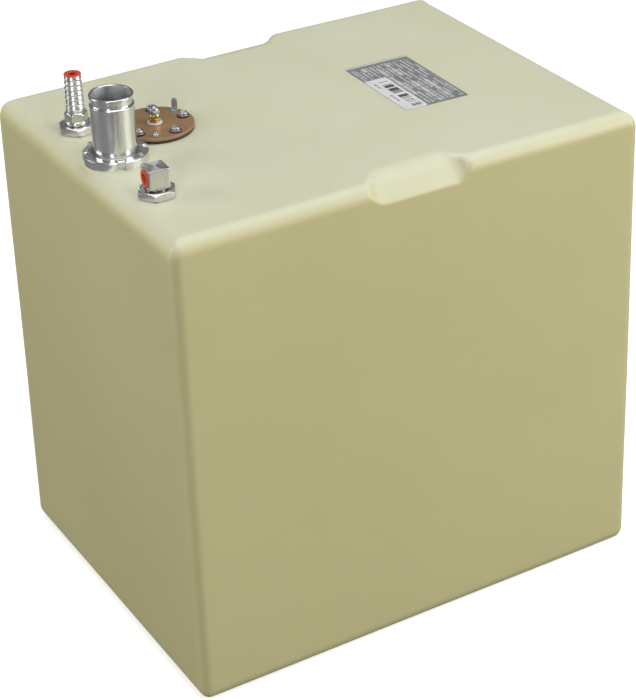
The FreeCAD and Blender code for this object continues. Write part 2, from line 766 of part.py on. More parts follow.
def outlet_elbow():
    """Mill the square elbow block and drill its two bores into each other."""
    half = "(block_width / 2)"
    inner = f"({half} - block_edge)"
    outline = [(f"{sx} * {across}", f"{sy} * {along}")
               for sx, sy, across, along in ((-1, -1, inner, half), (1, -1, inner, half),
                                             (1, -1, half, inner), (1, 1, half, inner),
                                             (1, 1, inner, half), (-1, 1, inner, half),
                                             (-1, 1, half, inner), (-1, -1, half, inner))]
    base = (ROW_X, "outlet_offset", f"{TOP} + {BLOCK_BASE}")
    block = prism("ElbowBlock", outline, "block_height", base, "block_turn")
    neck = turned("ElbowNeck", [
        ("0", "0 - elbow_neck_height - adapter_thread_depth + embed"),
        ("adapter_thread_radius - thread_gap", "0 - elbow_neck_height - adapter_thread_depth + embed"),
        ("adapter_thread_radius - thread_gap", "0 - elbow_neck_height"),
        ("elbow_neck_radius", "0 - elbow_neck_height"),
        ("elbow_neck_radius", "embed"), ("0", "embed"),
    ], base)
    riser_base = f"{TOP} + {PORT_HEIGHT} - block_height / 2 - adapter_thread_depth"
    riser = cylinder("ElbowRiser", "adapter_bore_radius", "block_height / 2 + adapter_thread_depth",
                     (ROW_X, "outlet_offset", riser_base))
    port = turned("ElbowPort", [
        ("0", "0"), ("adapter_bore_radius", "0"),
        ("adapter_bore_radius", "block_width / 2 - port_depth"),
        ("port_radius", "block_width / 2 - port_depth"), ("port_radius", "block_width / 2 + embed"),
        ("0", "block_width / 2 + embed"),
    ])
    return node("outlet_elbow", cut("OutletElbow", fused("ElbowBlank", [block, neck]),
                                    [riser, port_side(port, "0")]))


def port_side(thing, distance):
    """Lay a turned piece along the outlet port, its +Z pointing out of the port."""
    at = (f"{ROW_X} - ({distance}) * cos(block_turn * 1 deg)",
          f"outlet_offset - ({distance}) * sin(block_turn * 1 deg)", f"{TOP} + {PORT_HEIGHT}")
    level = FreeCAD.Rotation(FreeCAD.Vector(0, 1, 0), -90)
    swung = FreeCAD.Rotation(FreeCAD.Vector(0, 0, 1), value("block_turn"))
    thing.Placement = FreeCAD.Placement(FreeCAD.Vector(), swung * level)
    for letter, formula in zip("xyz", at):
        thing.setExpression(f"Placement.Base.{letter}", linked(formula))
    return thing


def outlet_plug():
    """Plug the elbow's port."""
    plug = push_plug("OutletPlug", "port_plug_rim_radius", "port_plug_rim_thickness",
                     "port_radius - sliding_gap / 2", "(port_depth - embed)",
                     "port_plug_recess_radius", ("0", "0", "0"))
    return node("outlet_plug", port_side(plug, "block_width / 2"))


def pickup_tube():
    """Hang the pick-up tube from the outlet's adapter down to near the floor."""
    tube_top = f"({TOP} - adapter_spigot_depth + tube_socket_depth)"
    low = "(wall + tube_floor_gap)"
    return node("pickup_tube", flat_ring("PickupTube", "tube_bore_radius", "tube_radius",
                                         f"{tube_top} - {low}", (ROW_X, "outlet_offset", low)))


def pickup_strainer():
    """Mould the strainer cup, gripping the tube's end, and open its windows."""
    inner = "strainer_radius - strainer_wall"
    corners = [
        ("0", "0"), ("strainer_radius", "0"),
        ("strainer_radius", "strainer_height - strainer_sleeve"),
        ("tube_radius + 2 * strainer_wall", "strainer_height"),
        ("tube_radius + running_gap", "strainer_height"),
        ("tube_radius + running_gap", "strainer_height - strainer_sleeve"),
        (inner, "strainer_height - strainer_sleeve - strainer_wall"),
        (inner, "strainer_wall"), ("0", "strainer_wall"),
    ]
    low = "wall + strainer_floor_gap"
    cup = turned("StrainerCup", corners, (ROW_X, "outlet_offset", low))
    windows = []
    for index in range(int(SIZES["strainer_window_count"])):
        windows.append(prism(f"Window{index}", [
            (f"{inner} - embed", "0 - strainer_window_width / 2"),
            ("strainer_radius + embed", "0 - strainer_window_width / 2"),
            ("strainer_radius + embed", "strainer_window_width / 2"),
            (f"{inner} - embed", "strainer_window_width / 2")], "strainer_window_height",
            (ROW_X, "outlet_offset", f"{low} + 3 * strainer_wall"),
            f"{index} * 360 / strainer_window_count"))
    return node("pickup_strainer", cut("Strainer", cup, windows))


# ---------------------------------------------------------------- sender head

def sender_holes(name, radius, circle, angles, low, height):
    """Make a ring of hole tools through the sender's stacked discs."""
    return [cylinder(f"{name}{index}", radius, height,
                     (*around(SENDER_X, "sender_offset", circle, angle), low))
            for index, angle in enumerate(angles)]


def screw_angles():
    """Return the angles of all the sender's clamp screws."""
    return [screw_angle(index) for index in range(int(SIZES["screw_count"]))]


def sender_disc(name, inner, outer, thickness, low, small_hole):
    """Make one disc of the sender's stack with its clamp and small-fastener holes."""
    blank = flat_ring(f"{name}Blank", inner, outer, thickness,
                      (SENDER_X, "sender_offset", f"{TOP} + {low}"))
    start = f"{TOP} + {low} - embed"
    height = f"{thickness} + 2 * embed"
    tools = sender_holes(f"{name}Hole", "screw_radius + slip_gap", "screw_circle", screw_angles(),
                         start, height)
    tools += sender_holes(f"{name}Small", small_hole, "small_circle",
                          ["small_screw_turn", "tab_turn"], start, height)
    return cut(name, blank, tools)


def sender_gasket():
    """Seal the sender to the tank top."""
    return node("sender_gasket", sender_disc("SenderGasket", "sender_opening_radius",
                                             "sender_gasket_radius", "sender_gasket_thickness", "0",
                                             "rivet_flange_radius + slip_gap"))


def sender_plate():
    """Make the phenolic head plate."""
    return node("sender_plate", sender_disc("SenderPlate", "insulator_sleeve_radius + slip_gap / 2",
                                            "plate_radius", "plate_thickness", PLATE_BASE,
                                            "rivet_radius + slip_gap / 2"))


def sender_bracket():
    """Make the steel backing disc and the leg that hangs from it into the tank."""
    disc = sender_disc("BackingDisc", "insulator_sleeve_radius + slip_gap / 2", "backing_radius",
                       "backing_thickness", "sender_gasket_thickness", "rivet_radius + slip_gap / 2")
    foot = f"({HOUSING_BASE} - leg_overhang)"
    leg = box("Leg", ("leg_width", "leg_thickness",
                      f"{TOP} + sender_gasket_thickness + backing_thickness / 2 - {foot}"),
              (f"{SENDER_X} - leg_width / 2", "sender_offset - leg_offset", foot))
    holes = [along_y(cylinder(f"LegHole{end}", "housing_rivet_radius + slip_gap / 2",
                              "leg_thickness + 2 * embed", ("0", "0", "0")),
                     SENDER_X, "sender_offset - leg_offset - embed", height)
             for end, height in enumerate(housing_rivet_heights())]
    return node("sender_bracket", cut("SenderBracket", fused("BracketBlank", [disc, leg]), holes))


def sender_screws():
    """Fit the five clamp screws."""
    screws = [pan_screw(f"SenderScrew{index}", around(SENDER_X, "sender_offset", "screw_circle", angle),
                        SCREW_SEAT, "screw_radius", f"({SCREW_SEAT} + screw_depth)",
                        "screw_head_radius", "screw_head_height")
              for index, angle in enumerate(screw_angles())]
    return node("sender_screws", grouped("SenderScrews", screws))


def washer_set(label, name, outer, thickness, low):
    """Make one washer under each clamp screw."""
    washers = [flat_ring(f"{name}{index}", "screw_radius + slip_gap / 2", outer, thickness,
                         (*around(SENDER_X, "sender_offset", "screw_circle", angle), f"{TOP} + {low}"))
               for index, angle in enumerate(screw_angles())]
    return node(label, grouped(f"{name}s", washers))


def bracket_screw():
    """Fit the small screw that holds the plate to its steel backing."""
    spot = around(SENDER_X, "sender_offset", "small_circle", "small_screw_turn")
    return node("bracket_screw", pan_screw(
        "BracketScrew", spot, PLATE_TOP, "small_screw_radius",
        "(plate_thickness + backing_thickness + small_screw_reach)", "small_head_radius",
        "small_head_height"))


def ground_tab():
    """Bend the spade tab up from its eyelet."""
    spot = around(SENDER_X, "sender_offset", "small_circle", "tab_turn")
    seat = (*spot, f"{TOP} + {PLATE_TOP}")
    foot = prism("TabFoot", [("0", "0 - tab_width / 2"), ("tab_reach", "0 - tab_width / 2"),
                             ("tab_reach", "tab_width / 2"), ("0", "tab_width / 2")],
                 "tab_thickness", seat, "tab_turn")
    eye = cylinder("TabEye", "tab_eye_radius", "tab_thickness", seat)
    blade = prism("TabBlade", [("tab_reach - tab_thickness", "0 - tab_width / 2"),
                               ("tab_reach", "0 - tab_width / 2"), ("tab_reach", "tab_width / 2"),
                               ("tab_reach - tab_thickness", "tab_width / 2")],
                  "tab_height", seat, "tab_turn")
    hole = cylinder("TabHole", "rivet_radius + slip_gap / 2", "tab_thickness + 2 * embed",
                    (*spot, f"{TOP} + {PLATE_TOP} - embed"))
    return node("ground_tab", cut("GroundTab", fused("TabBlank", [foot, eye, blade]), [hole]))


def ground_rivet():
    """Set the hollow rivet through the tab, the plate and the backing disc."""
    spot = around(SENDER_X, "sender_offset", "small_circle", "tab_turn")
    low = "(0 - rivet_flange_thickness)"
    high = "(backing_thickness + plate_thickness + tab_thickness)"
    corners = [
        ("rivet_bore_radius", low), ("rivet_flange_radius", low), ("rivet_flange_radius", "0"),
        ("rivet_radius", "0"), ("rivet_radius", high), ("rivet_flange_radius", high),
        ("rivet_flange_radius", f"{high} + rivet_flange_thickness"),
        ("rivet_bore_radius", f"{high} + rivet_flange_thickness"),
    ]
    return node("ground_rivet", turned("GroundRivet", corners,
                                       (*spot, f"{TOP} + sender_gasket_thickness")))


# ---------------------------------------------------------------- signal terminal

def at_sender(height):
    """Return the point on the sender's centre line at a height above the tank top."""
    return (SENDER_X, "sender_offset", f"{TOP} + {height}")


def terminal_insulators():
    """Make the flanged bush above the plate and the washer below its backing."""
    bore = "stud_radius + slip_gap / 2"
    upper = turned("UpperInsulator", [
        (bore, "0 - plate_thickness - backing_thickness"),
        ("insulator_sleeve_radius", "0 - plate_thickness - backing_thickness"),
        ("insulator_sleeve_radius", "0"), ("insulator_radius", "0"),
        ("insulator_radius", "insulator_thickness"), (bore, "insulator_thickness"),
    ], at_sender(PLATE_TOP))
    node("terminal_insulator", upper)
    lower = flat_ring("LowerInsulator", bore, "insulator_radius", "insulator_thickness",
                      at_sender("sender_gasket_thickness - insulator_thickness"))
    return node("terminal_lower_insulator", lower)


def terminal_stud():
    """Turn the brass stud with its head below the plate, threaded end up in the cap nut."""
    head_base = "(sender_gasket_thickness - insulator_thickness - lead_eye_thickness - stud_head_height)"
    top = f"({CAP_BASE} + cap_nut_height)"
    corners = [
        ("0", "0"), ("stud_head_radius", "0"), ("stud_head_radius", "stud_head_height"),
        ("stud_radius", "stud_head_height"), ("stud_radius", f"{top} - {head_base}"),
        ("0", f"{top} - {head_base}"),
    ]
    return node("terminal_stud", turned("TerminalStud", corners, at_sender(head_base)))


def hex_nut(label, name, corner_radius, height, low, turn):
    """Make a plain bevelled hexagon nut on the stud."""
    body = prism(f"{name}Hex", hexagon(corner_radius), height, at_sender(low), turn)
    envelope = turned(f"{name}Bevel", [
        ("0", "0"), (f"{corner_radius} * 0.9", "0"), (corner_radius, f"{height} * 0.15"),
        (corner_radius, f"{height} * 0.85"), (f"{corner_radius} * 0.9", height), ("0", height),
    ], at_sender(low))
    bore = cylinder(f"{name}Bore", "stud_radius + thread_gap", f"{height} + 2 * embed",
                    at_sender(f"{low} - embed"))
    return node(label, cut(name, common(f"{name}Blank", [body, envelope]), [bore]))


def terminal_collar():
    """Turn the brass collar between the clamp nut and the cap nut."""
    bore = "stud_radius + thread_gap"
    corners = [
        (bore, "0"), ("collar_radius * 0.8", "0"), ("collar_radius * 0.8", "collar_height * 0.4"),
        ("collar_radius", "collar_height * 0.6"), ("collar_radius", "collar_height"),
        (bore, "collar_height"),
    ]
    return node("terminal_collar", turned("TerminalCollar", corners, at_sender(COLLAR_BASE)))


def terminal_cap_nut():
    """Make the domed steel cap nut that holds the wire."""
    hexagon_part = prism("CapHex", hexagon("cap_nut_corner_radius"), "cap_nut_height",
                         at_sender(CAP_BASE), "20")
    dome = turned("CapDome", [
        ("0", "0"), ("cap_nut_dome_radius", "0"),
        ("cap_nut_dome_radius * 0.92", "cap_nut_dome_height * 0.4"),
        ("cap_nut_dome_radius * 0.7", "cap_nut_dome_height * 0.75"),
        ("cap_nut_dome_radius * 0.35", "cap_nut_dome_height * 0.95"), ("0", "cap_nut_dome_height"),
    ], at_sender(f"{CAP_BASE} + cap_nut_height"))
    bore = cylinder("CapBore", "stud_radius + thread_gap", "cap_nut_height + thread_gap + embed",
                    at_sender(f"{CAP_BASE} - embed"))
    return node("terminal_cap_nut", cut("CapNut", fused("CapBlank", [hexagon_part, dome]), [bore]))


# ---------------------------------------------------------------- level mechanism

def along_y(thing, centre_x, start_y, height):
    """Lay a piece with its own +Z along +Y."""
    return place(thing, (centre_x, start_y, height), "0 - 90", (1, 0, 0))


def housing_rivet_heights():
    """Return the heights of the two rivets that hold the housing to its leg."""
    return [f"{HOUSING_BASE} + housing_rivet_inset",
            f"{HOUSING_BASE} + housing_height - housing_rivet_inset"]


def sender_housing():
    """Mould the resistor's case, open on the side that its cover closes."""
    west = f"({SENDER_X} - housing_length / 2)"
    case = box("Case", ("housing_length", "housing_depth", "housing_height"),
               (west, HOUSING_BACK, HOUSING_BASE))
    hollow = box("CaseHollow", ("housing_length - 2 * housing_wall", "housing_depth",
                                "housing_height - 2 * housing_wall"),
                 (f"{west} + housing_wall", f"{HOUSING_BACK} + housing_wall",
                  f"{HOUSING_BASE} + housing_wall"))
    bearing = along_y(cylinder("CaseBearing", "shaft_radius + running_gap", "2 * housing_wall",
                               ("0", "0", "0")),
                      SENDER_X, f"{HOUSING_BACK} - embed / 4", PIVOT_Z)
    rivet_holes = [along_y(cylinder(f"CaseRivetHole{end}", "housing_rivet_radius + slip_gap / 2",
                                    "2 * housing_wall", ("0", "0", "0")),
                           SENDER_X, f"{HOUSING_BACK} - embed / 4", height)
                   for end, height in enumerate(housing_rivet_heights())]
    lead_hole = cylinder("CaseLeadHole", "lead_radius + slip_gap", "2 * housing_wall",
                         (LEAD_X, "sender_offset", f"{HOUSING_BASE} + housing_height - 1.5 * housing_wall"))
    return node("sender_housing", cut("Housing", case, [hollow, bearing, lead_hole] + rivet_holes))


def housing_cover():
    """Close the case with a flat cover that carries the shaft's outer bearing."""
    plate = box("CoverPlate", ("housing_length", "housing_wall", "housing_height"),
                (f"{SENDER_X} - housing_length / 2", COVER_Y, HOUSING_BASE))
    bearing = along_y(cylinder("CoverBearing", "shaft_radius + running_gap",
                               "housing_wall + 2 * embed", ("0", "0", "0")),
                      SENDER_X, f"{COVER_Y} - embed", PIVOT_Z)
    return node("housing_cover", cut("HousingCover", plate, [bearing]))


def housing_rivets():
    """Set two rivets through the leg and the back of the case."""
    grip = "(leg_thickness + housing_wall)"
    rivets = []
    for end, height in enumerate(housing_rivet_heights()):
        corners = [
            ("0", "0 - housing_rivet_head_height"),
            ("housing_rivet_head_radius", "0 - housing_rivet_head_height"),
            ("housing_rivet_head_radius", "0"), ("housing_rivet_radius", "0"),
            ("housing_rivet_radius", grip), ("housing_rivet_head_radius", grip),
            ("housing_rivet_head_radius", f"{grip} + housing_rivet_head_height"),
            ("0", f"{grip} + housing_rivet_head_height"),
        ]
        rivets.append(along_y(turned(f"HousingRivet{end}", corners), SENDER_X,
                              "sender_offset - leg_offset", height))
    return node("housing_rivets", grouped("HousingRivets", rivets))


def resistor_card():
    """Lay the resistor card on the back of the case above the shaft."""
    return node("resistor_card", box("Card", ("card_length", "card_thickness", CARD_HEIGHT),
                                     (f"{SENDER_X} - card_length / 2", f"{HOUSING_BACK} + housing_wall",
                                      f"{PIVOT_Z} + card_lift")))


def swing_frame(thing):
    """Stand a float-arm piece on the pivot, turned down to where the empty tank leaves it."""
    return place(thing, (SENDER_X, ARM_Y, PIVOT_Z), "swing_half_angle", (0, 1, 0))


def arm_path(points_along_y, reach):
    """Draw the arm's centre line: along the shaft, round one bend, out to the float."""
    back = value(points_along_y)
    bend = value("arm_bend")
    corner = FreeCAD.Vector(bend * (1 - 0.5 ** 0.5), -bend * (1 - 0.5 ** 0.5), 0)
    shaft_end = FreeCAD.Vector(0, -bend, 0)
    arm_start = FreeCAD.Vector(bend, 0, 0)
    straight = Part.LineSegment(FreeCAD.Vector(0, back, 0), shaft_end).toShape()
    curve = Part.Arc(shaft_end, corner, arm_start).toShape()
    out = Part.LineSegment(arm_start, FreeCAD.Vector(value(reach), 0, 0)).toShape()
    return Part.Wire([straight, curve, out])


def float_arm():
    """Bend the round wire that is both the wiper's shaft and the float's arm."""
    inner_end = f"({HOUSING_BACK} + running_gap - {ARM_Y})"
    tip = f"({ARM_REACH} + arm_tail + clip_thickness)"
    path = arm_path(inner_end, tip)
    start = FreeCAD.Vector(0, value(inner_end), 0)
    ring = Part.Wire(Part.makeCircle(value("shaft_radius"), start, FreeCAD.Vector(0, 1, 0)))
    wire = doc.addObject("Part::Feature", "FloatArm")
    wire.Shape = path.makePipeShell([ring], True, False)
    return node("float_arm", swing_frame(wire))


def along_arm(thing, distance):
    """Thread a turned piece on to the arm, a distance out from the pivot."""
    low = "swing_half_angle * 1 deg"
    at = (f"{SENDER_X} + ({distance}) * cos({low})", ARM_Y, f"{PIVOT_Z} - ({distance}) * sin({low})")
    return place(thing, at, "90 + swing_half_angle", (0, 1, 0))


def float_parts():
    """Make the float and the push-on clips at its two ends."""
    start = f"({ARM_REACH} - float_length)"
    edge = "float_radius / 6"
    bore = "shaft_radius + float_bore_gap"
    shape = turned("Float", [
        (bore, "0"), (f"float_radius - {edge}", "0"), ("float_radius", edge),
        ("float_radius", f"float_length - {edge}"), (f"float_radius - {edge}", "float_length"),
        (bore, "float_length"),
    ])
    node("float", along_arm(shape, start))
    clips = [along_arm(turned(f"Clip{end}", [
        ("shaft_radius", "0"), ("clip_radius", "0"), ("clip_radius", "clip_thickness"),
        ("shaft_radius", "clip_thickness")]), place_along)
        for end, place_along in enumerate((f"{start} - clip_thickness", ARM_REACH))]
    return node("float_clips", grouped("FloatClips", clips))


def wiper():
    """Make the wiper: a hub on the shaft and a finger that sweeps the card."""
    hub_start = f"({HOUSING_BACK} + housing_wall + card_thickness + sliding_gap)"
    hub = turned("WiperHub", [
        ("shaft_radius", "0"), ("wiper_hub_radius", "0"), ("wiper_hub_radius", "wiper_hub_length"),
        ("shaft_radius", "wiper_hub_length")])
    along_y(hub, SENDER_X, hub_start, PIVOT_Z)
    blade = prism("WiperBlade", [
        ("0 - wiper_width / 2", "0 - wiper_reach"), ("wiper_width / 2", "0 - wiper_reach"),
        ("wiper_width / 2", "0 - shaft_radius - embed / 2"),
        ("0 - wiper_width / 2", "0 - shaft_radius - embed / 2")], "wiper_thickness")
    level = FreeCAD.Rotation(FreeCAD.Vector(1, 0, 0), -90)
    lowered = FreeCAD.Rotation(FreeCAD.Vector(0, 1, 0), value("swing_half_angle"))
    blade.Placement = FreeCAD.Placement(FreeCAD.Vector(), lowered * level)
    for letter, formula in zip("xyz", (SENDER_X, hub_start, PIVOT_Z)):
        blade.setExpression(f"Placement.Base.{letter}", linked(formula))
    return node("wiper", fused("Wiper", [hub, blade]))


def signal_lead():
    """Run the insulated lead from the stud's eyelet down the leg into the case."""
    eye_height = "(sender_gasket_thickness - insulator_thickness - lead_eye_thickness)"
    eye = flat_ring("LeadEye", "stud_radius + slip_gap / 2", "lead_eye_radius", "lead_eye_thickness",
                    at_sender(eye_height))
    run_x = value(LEAD_X)
    run_y = value("sender_offset")
    eye_x = value(f"{SENDER_X} + stud_head_radius + slip_gap")
    high = value(f"{TOP} + {eye_height} + lead_eye_thickness - lead_radius")
    bend = value("lead_bend")
    end = value(f"{HOUSING_BASE} + housing_height - 2 * housing_wall")
    slack = bend * (1 - 0.5 ** 0.5)
    turn_start = FreeCAD.Vector(run_x - bend, run_y, high)
    turn_end = FreeCAD.Vector(run_x, run_y, high - bend)
    middle = FreeCAD.Vector(run_x - slack, run_y, high - slack)
    path = Part.Wire([
        Part.LineSegment(FreeCAD.Vector(eye_x, run_y, high), turn_start).toShape(),
        Part.Arc(turn_start, middle, turn_end).toShape(),
        Part.LineSegment(turn_end, FreeCAD.Vector(run_x, run_y, end)).toShape(),
    ])
    ring = Part.Wire(Part.makeCircle(value("lead_radius"), FreeCAD.Vector(eye_x, run_y, high),
                                     FreeCAD.Vector(1, 0, 0)))
    cable = doc.addObject("Part::Feature", "LeadCable")
    cable.Shape = path.makePipeShell([ring], True, False)
    return node("signal_lead", fused("SignalLead", [eye, cable]))


# ---------------------------------------------------------------- labels

def labels():
    """Lay the rating label on the top and the sticker along one side of it."""
    def sheet_of(name, length, width, thickness, shift, low):
        corners = [(f"{sx} * {width} / 2 + {shift[0]}", f"{sy} * {length} / 2 + {shift[1]}")
                   for sx, sy in ((-1, -1), (1, -1), (1, 1), (-1, 1))]
        return prism(name, corners, thickness, ("label_x", "label_y", f"{TOP} + {low}"), "label_turn")
    node("rating_label", sheet_of("RatingLabel", "label_length", "label_width", "label_thickness",
                                  ("0", "0"), "0"))
    shift = ("(sticker_width - label_width) / 2", "(sticker_length - label_length) / 2")
    return node("barcode_sticker", sheet_of("Sticker", "sticker_length", "sticker_width",
                                            "sticker_thickness", shift, "label_thickness"))


# ---------------------------------------------------------------- whole tank

def build_tank():
    """Build every piece of the tank in assembly order."""
    insert = fill_insert_part()
    vent_bush = node("vent_insert", lipped_insert("VentInsert", "bush_bore_radius", "bush_radius",
                                                  "bush_lip", "bush_depth", (ROW_X, "vent_offset")))
    outlet_bush = node("outlet_insert", lipped_insert("OutletInsert", "bush_bore_radius",
                                                      "bush_radius", "bush_lip", "bush_depth",
                                                      (ROW_X, "outlet_offset")))
    tank_shell(insert, vent_bush, outlet_bush, thread_inserts())
    fill_gasket()
    fill_neck()
    fill_lock_ring()
    fill_lock_screws()
    node("vent_seal", adapter_seal("VentSeal", "vent_offset"))
    node("vent_hex_adapter", hex_adapter("VentAdapter", "vent_offset", "vent_hex_turn",
                                         "adapter_bore_radius"))
    vent_barb()
    vent_plug()
    node("outlet_seal", adapter_seal("OutletSeal", "outlet_offset"))
    node("outlet_hex_adapter", hex_adapter("OutletAdapter", "outlet_offset", "outlet_hex_turn",
                                           "tube_radius + running_gap"))
    outlet_elbow()
    outlet_plug()
    pickup_tube()
    pickup_strainer()
    sender_gasket()
    sender_plate()
    sender_bracket()
    sender_screws()
    washer_set("sender_rubber_washers", "RubberWasher", "rubber_washer_radius",
               "rubber_washer_thickness", PLATE_TOP)
    washer_set("sender_steel_washers", "SteelWasher", "washer_radius", "washer_thickness",
               f"{PLATE_TOP} + rubber_washer_thickness")
    bracket_screw()
    ground_tab()
    ground_rivet()
    terminal_insulators()
    terminal_stud()
    hex_nut("terminal_clamp_nut", "ClampNut", "brass_nut_corner_radius", "brass_nut_height",
            STACK_BASE, "10")
    terminal_collar()
    terminal_cap_nut()
    sender_housing()
    housing_cover()
    housing_rivets()
    resistor_card()
    wiper()
    signal_lead()
    float_arm()
    float_parts()
    labels()


def check_model():
    """Stop if any object failed to compute or any node is empty or invalid."""
    failed = [item.Name for item in doc.Objects if {"Invalid", "Error"} & set(item.State)]
    if failed:
        raise RuntimeError(f"objects failed: {failed}")
    for item in nodes:
        if item.Shape.isNull() or not item.Shape.isValid() or not item.Shape.Solids:
            raise RuntimeError(f"bad shape: {item.Label}")


def export_nodes():
    """Write each node's shape to its own file."""
    os.makedirs("parts", exist_ok=True)
    for item in nodes:
        item.Shape.exportStep(f"parts/{item.Label}.step")
        extent = item.Shape.BoundBox
        print(f"{item.Label:26s} solids {len(item.Shape.Solids)} volume {item.Shape.Volume:12.1f} "
              f"z {extent.ZMin:8.2f} to {extent.ZMax:8.2f}")


fill_sheet()
build_tank()
doc.recompute()
check_model()
export_nodes()
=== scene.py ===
"""Looks of a portable moulded liquid tank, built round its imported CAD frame.

The tank is a rotationally moulded polyethylene box. Its fittings stand together at one end of
the top: a machined filler neck, a plugged hose-barb vent, a plugged outlet elbow and a brown
sender head. Lengths in the classes are millimetres; meshes are written in metres.
"""
import logging
import math
from dataclasses import dataclass, field
from enum import Enum
from typing import Callable, Optional, Sequence

import bmesh
import bpy
import numpy as np
from mathutils import Matrix, Vector


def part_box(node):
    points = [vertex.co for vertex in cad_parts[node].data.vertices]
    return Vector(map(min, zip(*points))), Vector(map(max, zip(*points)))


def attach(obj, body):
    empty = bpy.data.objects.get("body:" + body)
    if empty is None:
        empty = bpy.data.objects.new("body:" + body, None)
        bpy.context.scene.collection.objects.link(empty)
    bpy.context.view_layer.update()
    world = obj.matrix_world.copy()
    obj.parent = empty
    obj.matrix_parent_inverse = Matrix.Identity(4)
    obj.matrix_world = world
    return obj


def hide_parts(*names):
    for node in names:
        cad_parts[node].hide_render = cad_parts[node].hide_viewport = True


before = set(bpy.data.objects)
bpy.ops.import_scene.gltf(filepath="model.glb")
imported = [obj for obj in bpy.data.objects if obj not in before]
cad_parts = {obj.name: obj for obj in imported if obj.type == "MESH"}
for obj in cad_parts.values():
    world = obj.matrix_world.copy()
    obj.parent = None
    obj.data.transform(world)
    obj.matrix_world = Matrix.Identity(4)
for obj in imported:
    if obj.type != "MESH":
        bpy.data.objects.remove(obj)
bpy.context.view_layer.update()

MM = 0.001
TANK = "tank"
FOOT_RADIUS = 6.45
FOOT_GAP = 0.02
log = logging.getLogger("tank")

Corner = tuple[float, float, float]
Colour = tuple[float, float, float]


# ------------------------------------------------------------------ node wiring

class Wiring:
    """Adds and joins the nodes of one shader tree."""

    def __init__(self, tree: bpy.types.NodeTree) -> None:
        """Start with a tree and take out what is in it."""
        self.tree = tree
        tree.nodes.clear()

    def add(self, kind: str, sockets: Optional[dict] = None, **settings) -> bpy.types.Node:
        """Add one node.

        Args:
            kind: the node's type name, without its ShaderNode prefix.
            sockets: values or output sockets for its inputs, by input name or number.
            settings: plain properties of the node.

        Returns:
            The new node.
        """
        prefix = "" if kind.startswith("NodeGroup") else "ShaderNode"
        node = self.tree.nodes.new(prefix + kind)
        for name, setting in settings.items():
            setattr(node, name, setting)
        for name, source in (sockets or {}).items():
            self.feed(node.inputs[name], source)
        return node

    def feed(self, socket: bpy.types.NodeSocket, source: object) -> None:
        """Link a socket to another, or set it to a plain value."""
        if isinstance(source, bpy.types.NodeSocket):
            self.tree.links.new(source, socket)
        else:
            socket.default_value = source

    def math(self, operation: str, *terms: object, clamp: bool = False) -> bpy.types.NodeSocket:
        """Add a Math node and return its output."""
        node = self.add("Math", dict(enumerate(terms)), operation=operation, use_clamp=clamp)
        return node.outputs[0]

    def ramp(self, source: bpy.types.NodeSocket, low: float, high: float,
             out_low: float = 0.0, out_high: float = 1.0) -> bpy.types.NodeSocket:
        """Map a value smoothly from one range to another and return the output.

        Args:
            source: the value to map.
            low: where the range of values starts.
            high: where it ends.
            out_low: what the low end becomes.
            out_high: what the high end becomes.

        Returns:
            The mapped value.
        """
        node = self.add("MapRange", {"Value": source, "From Min": low, "From Max": high,
                                     "To Min": out_low, "To Max": out_high},
                        interpolation_type="SMOOTHSTEP")
        return node.outputs["Result"]

    def blend(self, mask: bpy.types.NodeSocket, low: object, high: object) -> bpy.types.NodeSocket:
        """Mix two colours by a mask and return the output.

        Args:
            mask: the share of the second one.
            low: the first colour or value.
            high: the second colour or value.

        Returns:
            The blended colour.
        """
        node = self.add("Mix", data_type="RGBA")
        for name, source in (("Factor", mask), ("A", low), ("B", high)):
            wanted = "Factor_Float" if name == "Factor" else f"{name}_Color"
            socket = next(item for item in node.inputs if item.identifier == wanted)
            self.feed(socket, with_alpha(source))
        return next(item for item in node.outputs if item.identifier == "Result_Color")

    def place(self, name: str, **sockets: object) -> bpy.types.Node:
        """Place a shared node group and set its inputs (underscores stand for spaces).

        Args:
            name: which shared group to place.
            sockets: a value or an output for each of its inputs.

        Returns:
            The group's node.
        """
        node = self.add("Group")
        node.node_tree = shared_group(name)
        for key, source in sockets.items():
            self.feed(node.inputs[key.replace("_", " ")], source)
        return node


def with_alpha(source: object) -> object:
    """Give a plain colour its alpha, and leave sockets alone."""
    return (*source, 1.0) if isinstance(source, tuple) and len(source) == 3 else source


def group_wiring(name: str, inputs: dict[str, float], outputs: Sequence[str]) -> tuple:
    """Start a node group.

    Args:
        name: the group's name.
        inputs: its number inputs and their usual values.
        outputs: the names of its outputs.

    Returns:
        The wiring, the input node and the output node.
    """
    tree = bpy.data.node_groups.new(name, "ShaderNodeTree")
    for label, usual in inputs.items():
        socket = tree.interface.new_socket(label, in_out="INPUT", socket_type="NodeSocketFloat")
        socket.default_value = usual
    for label in outputs:
        tree.interface.new_socket(label, in_out="OUTPUT", socket_type="NodeSocketFloat")
    wiring = Wiring(tree)
    return wiring, wiring.add("NodeGroupInput"), wiring.add("NodeGroupOutput")


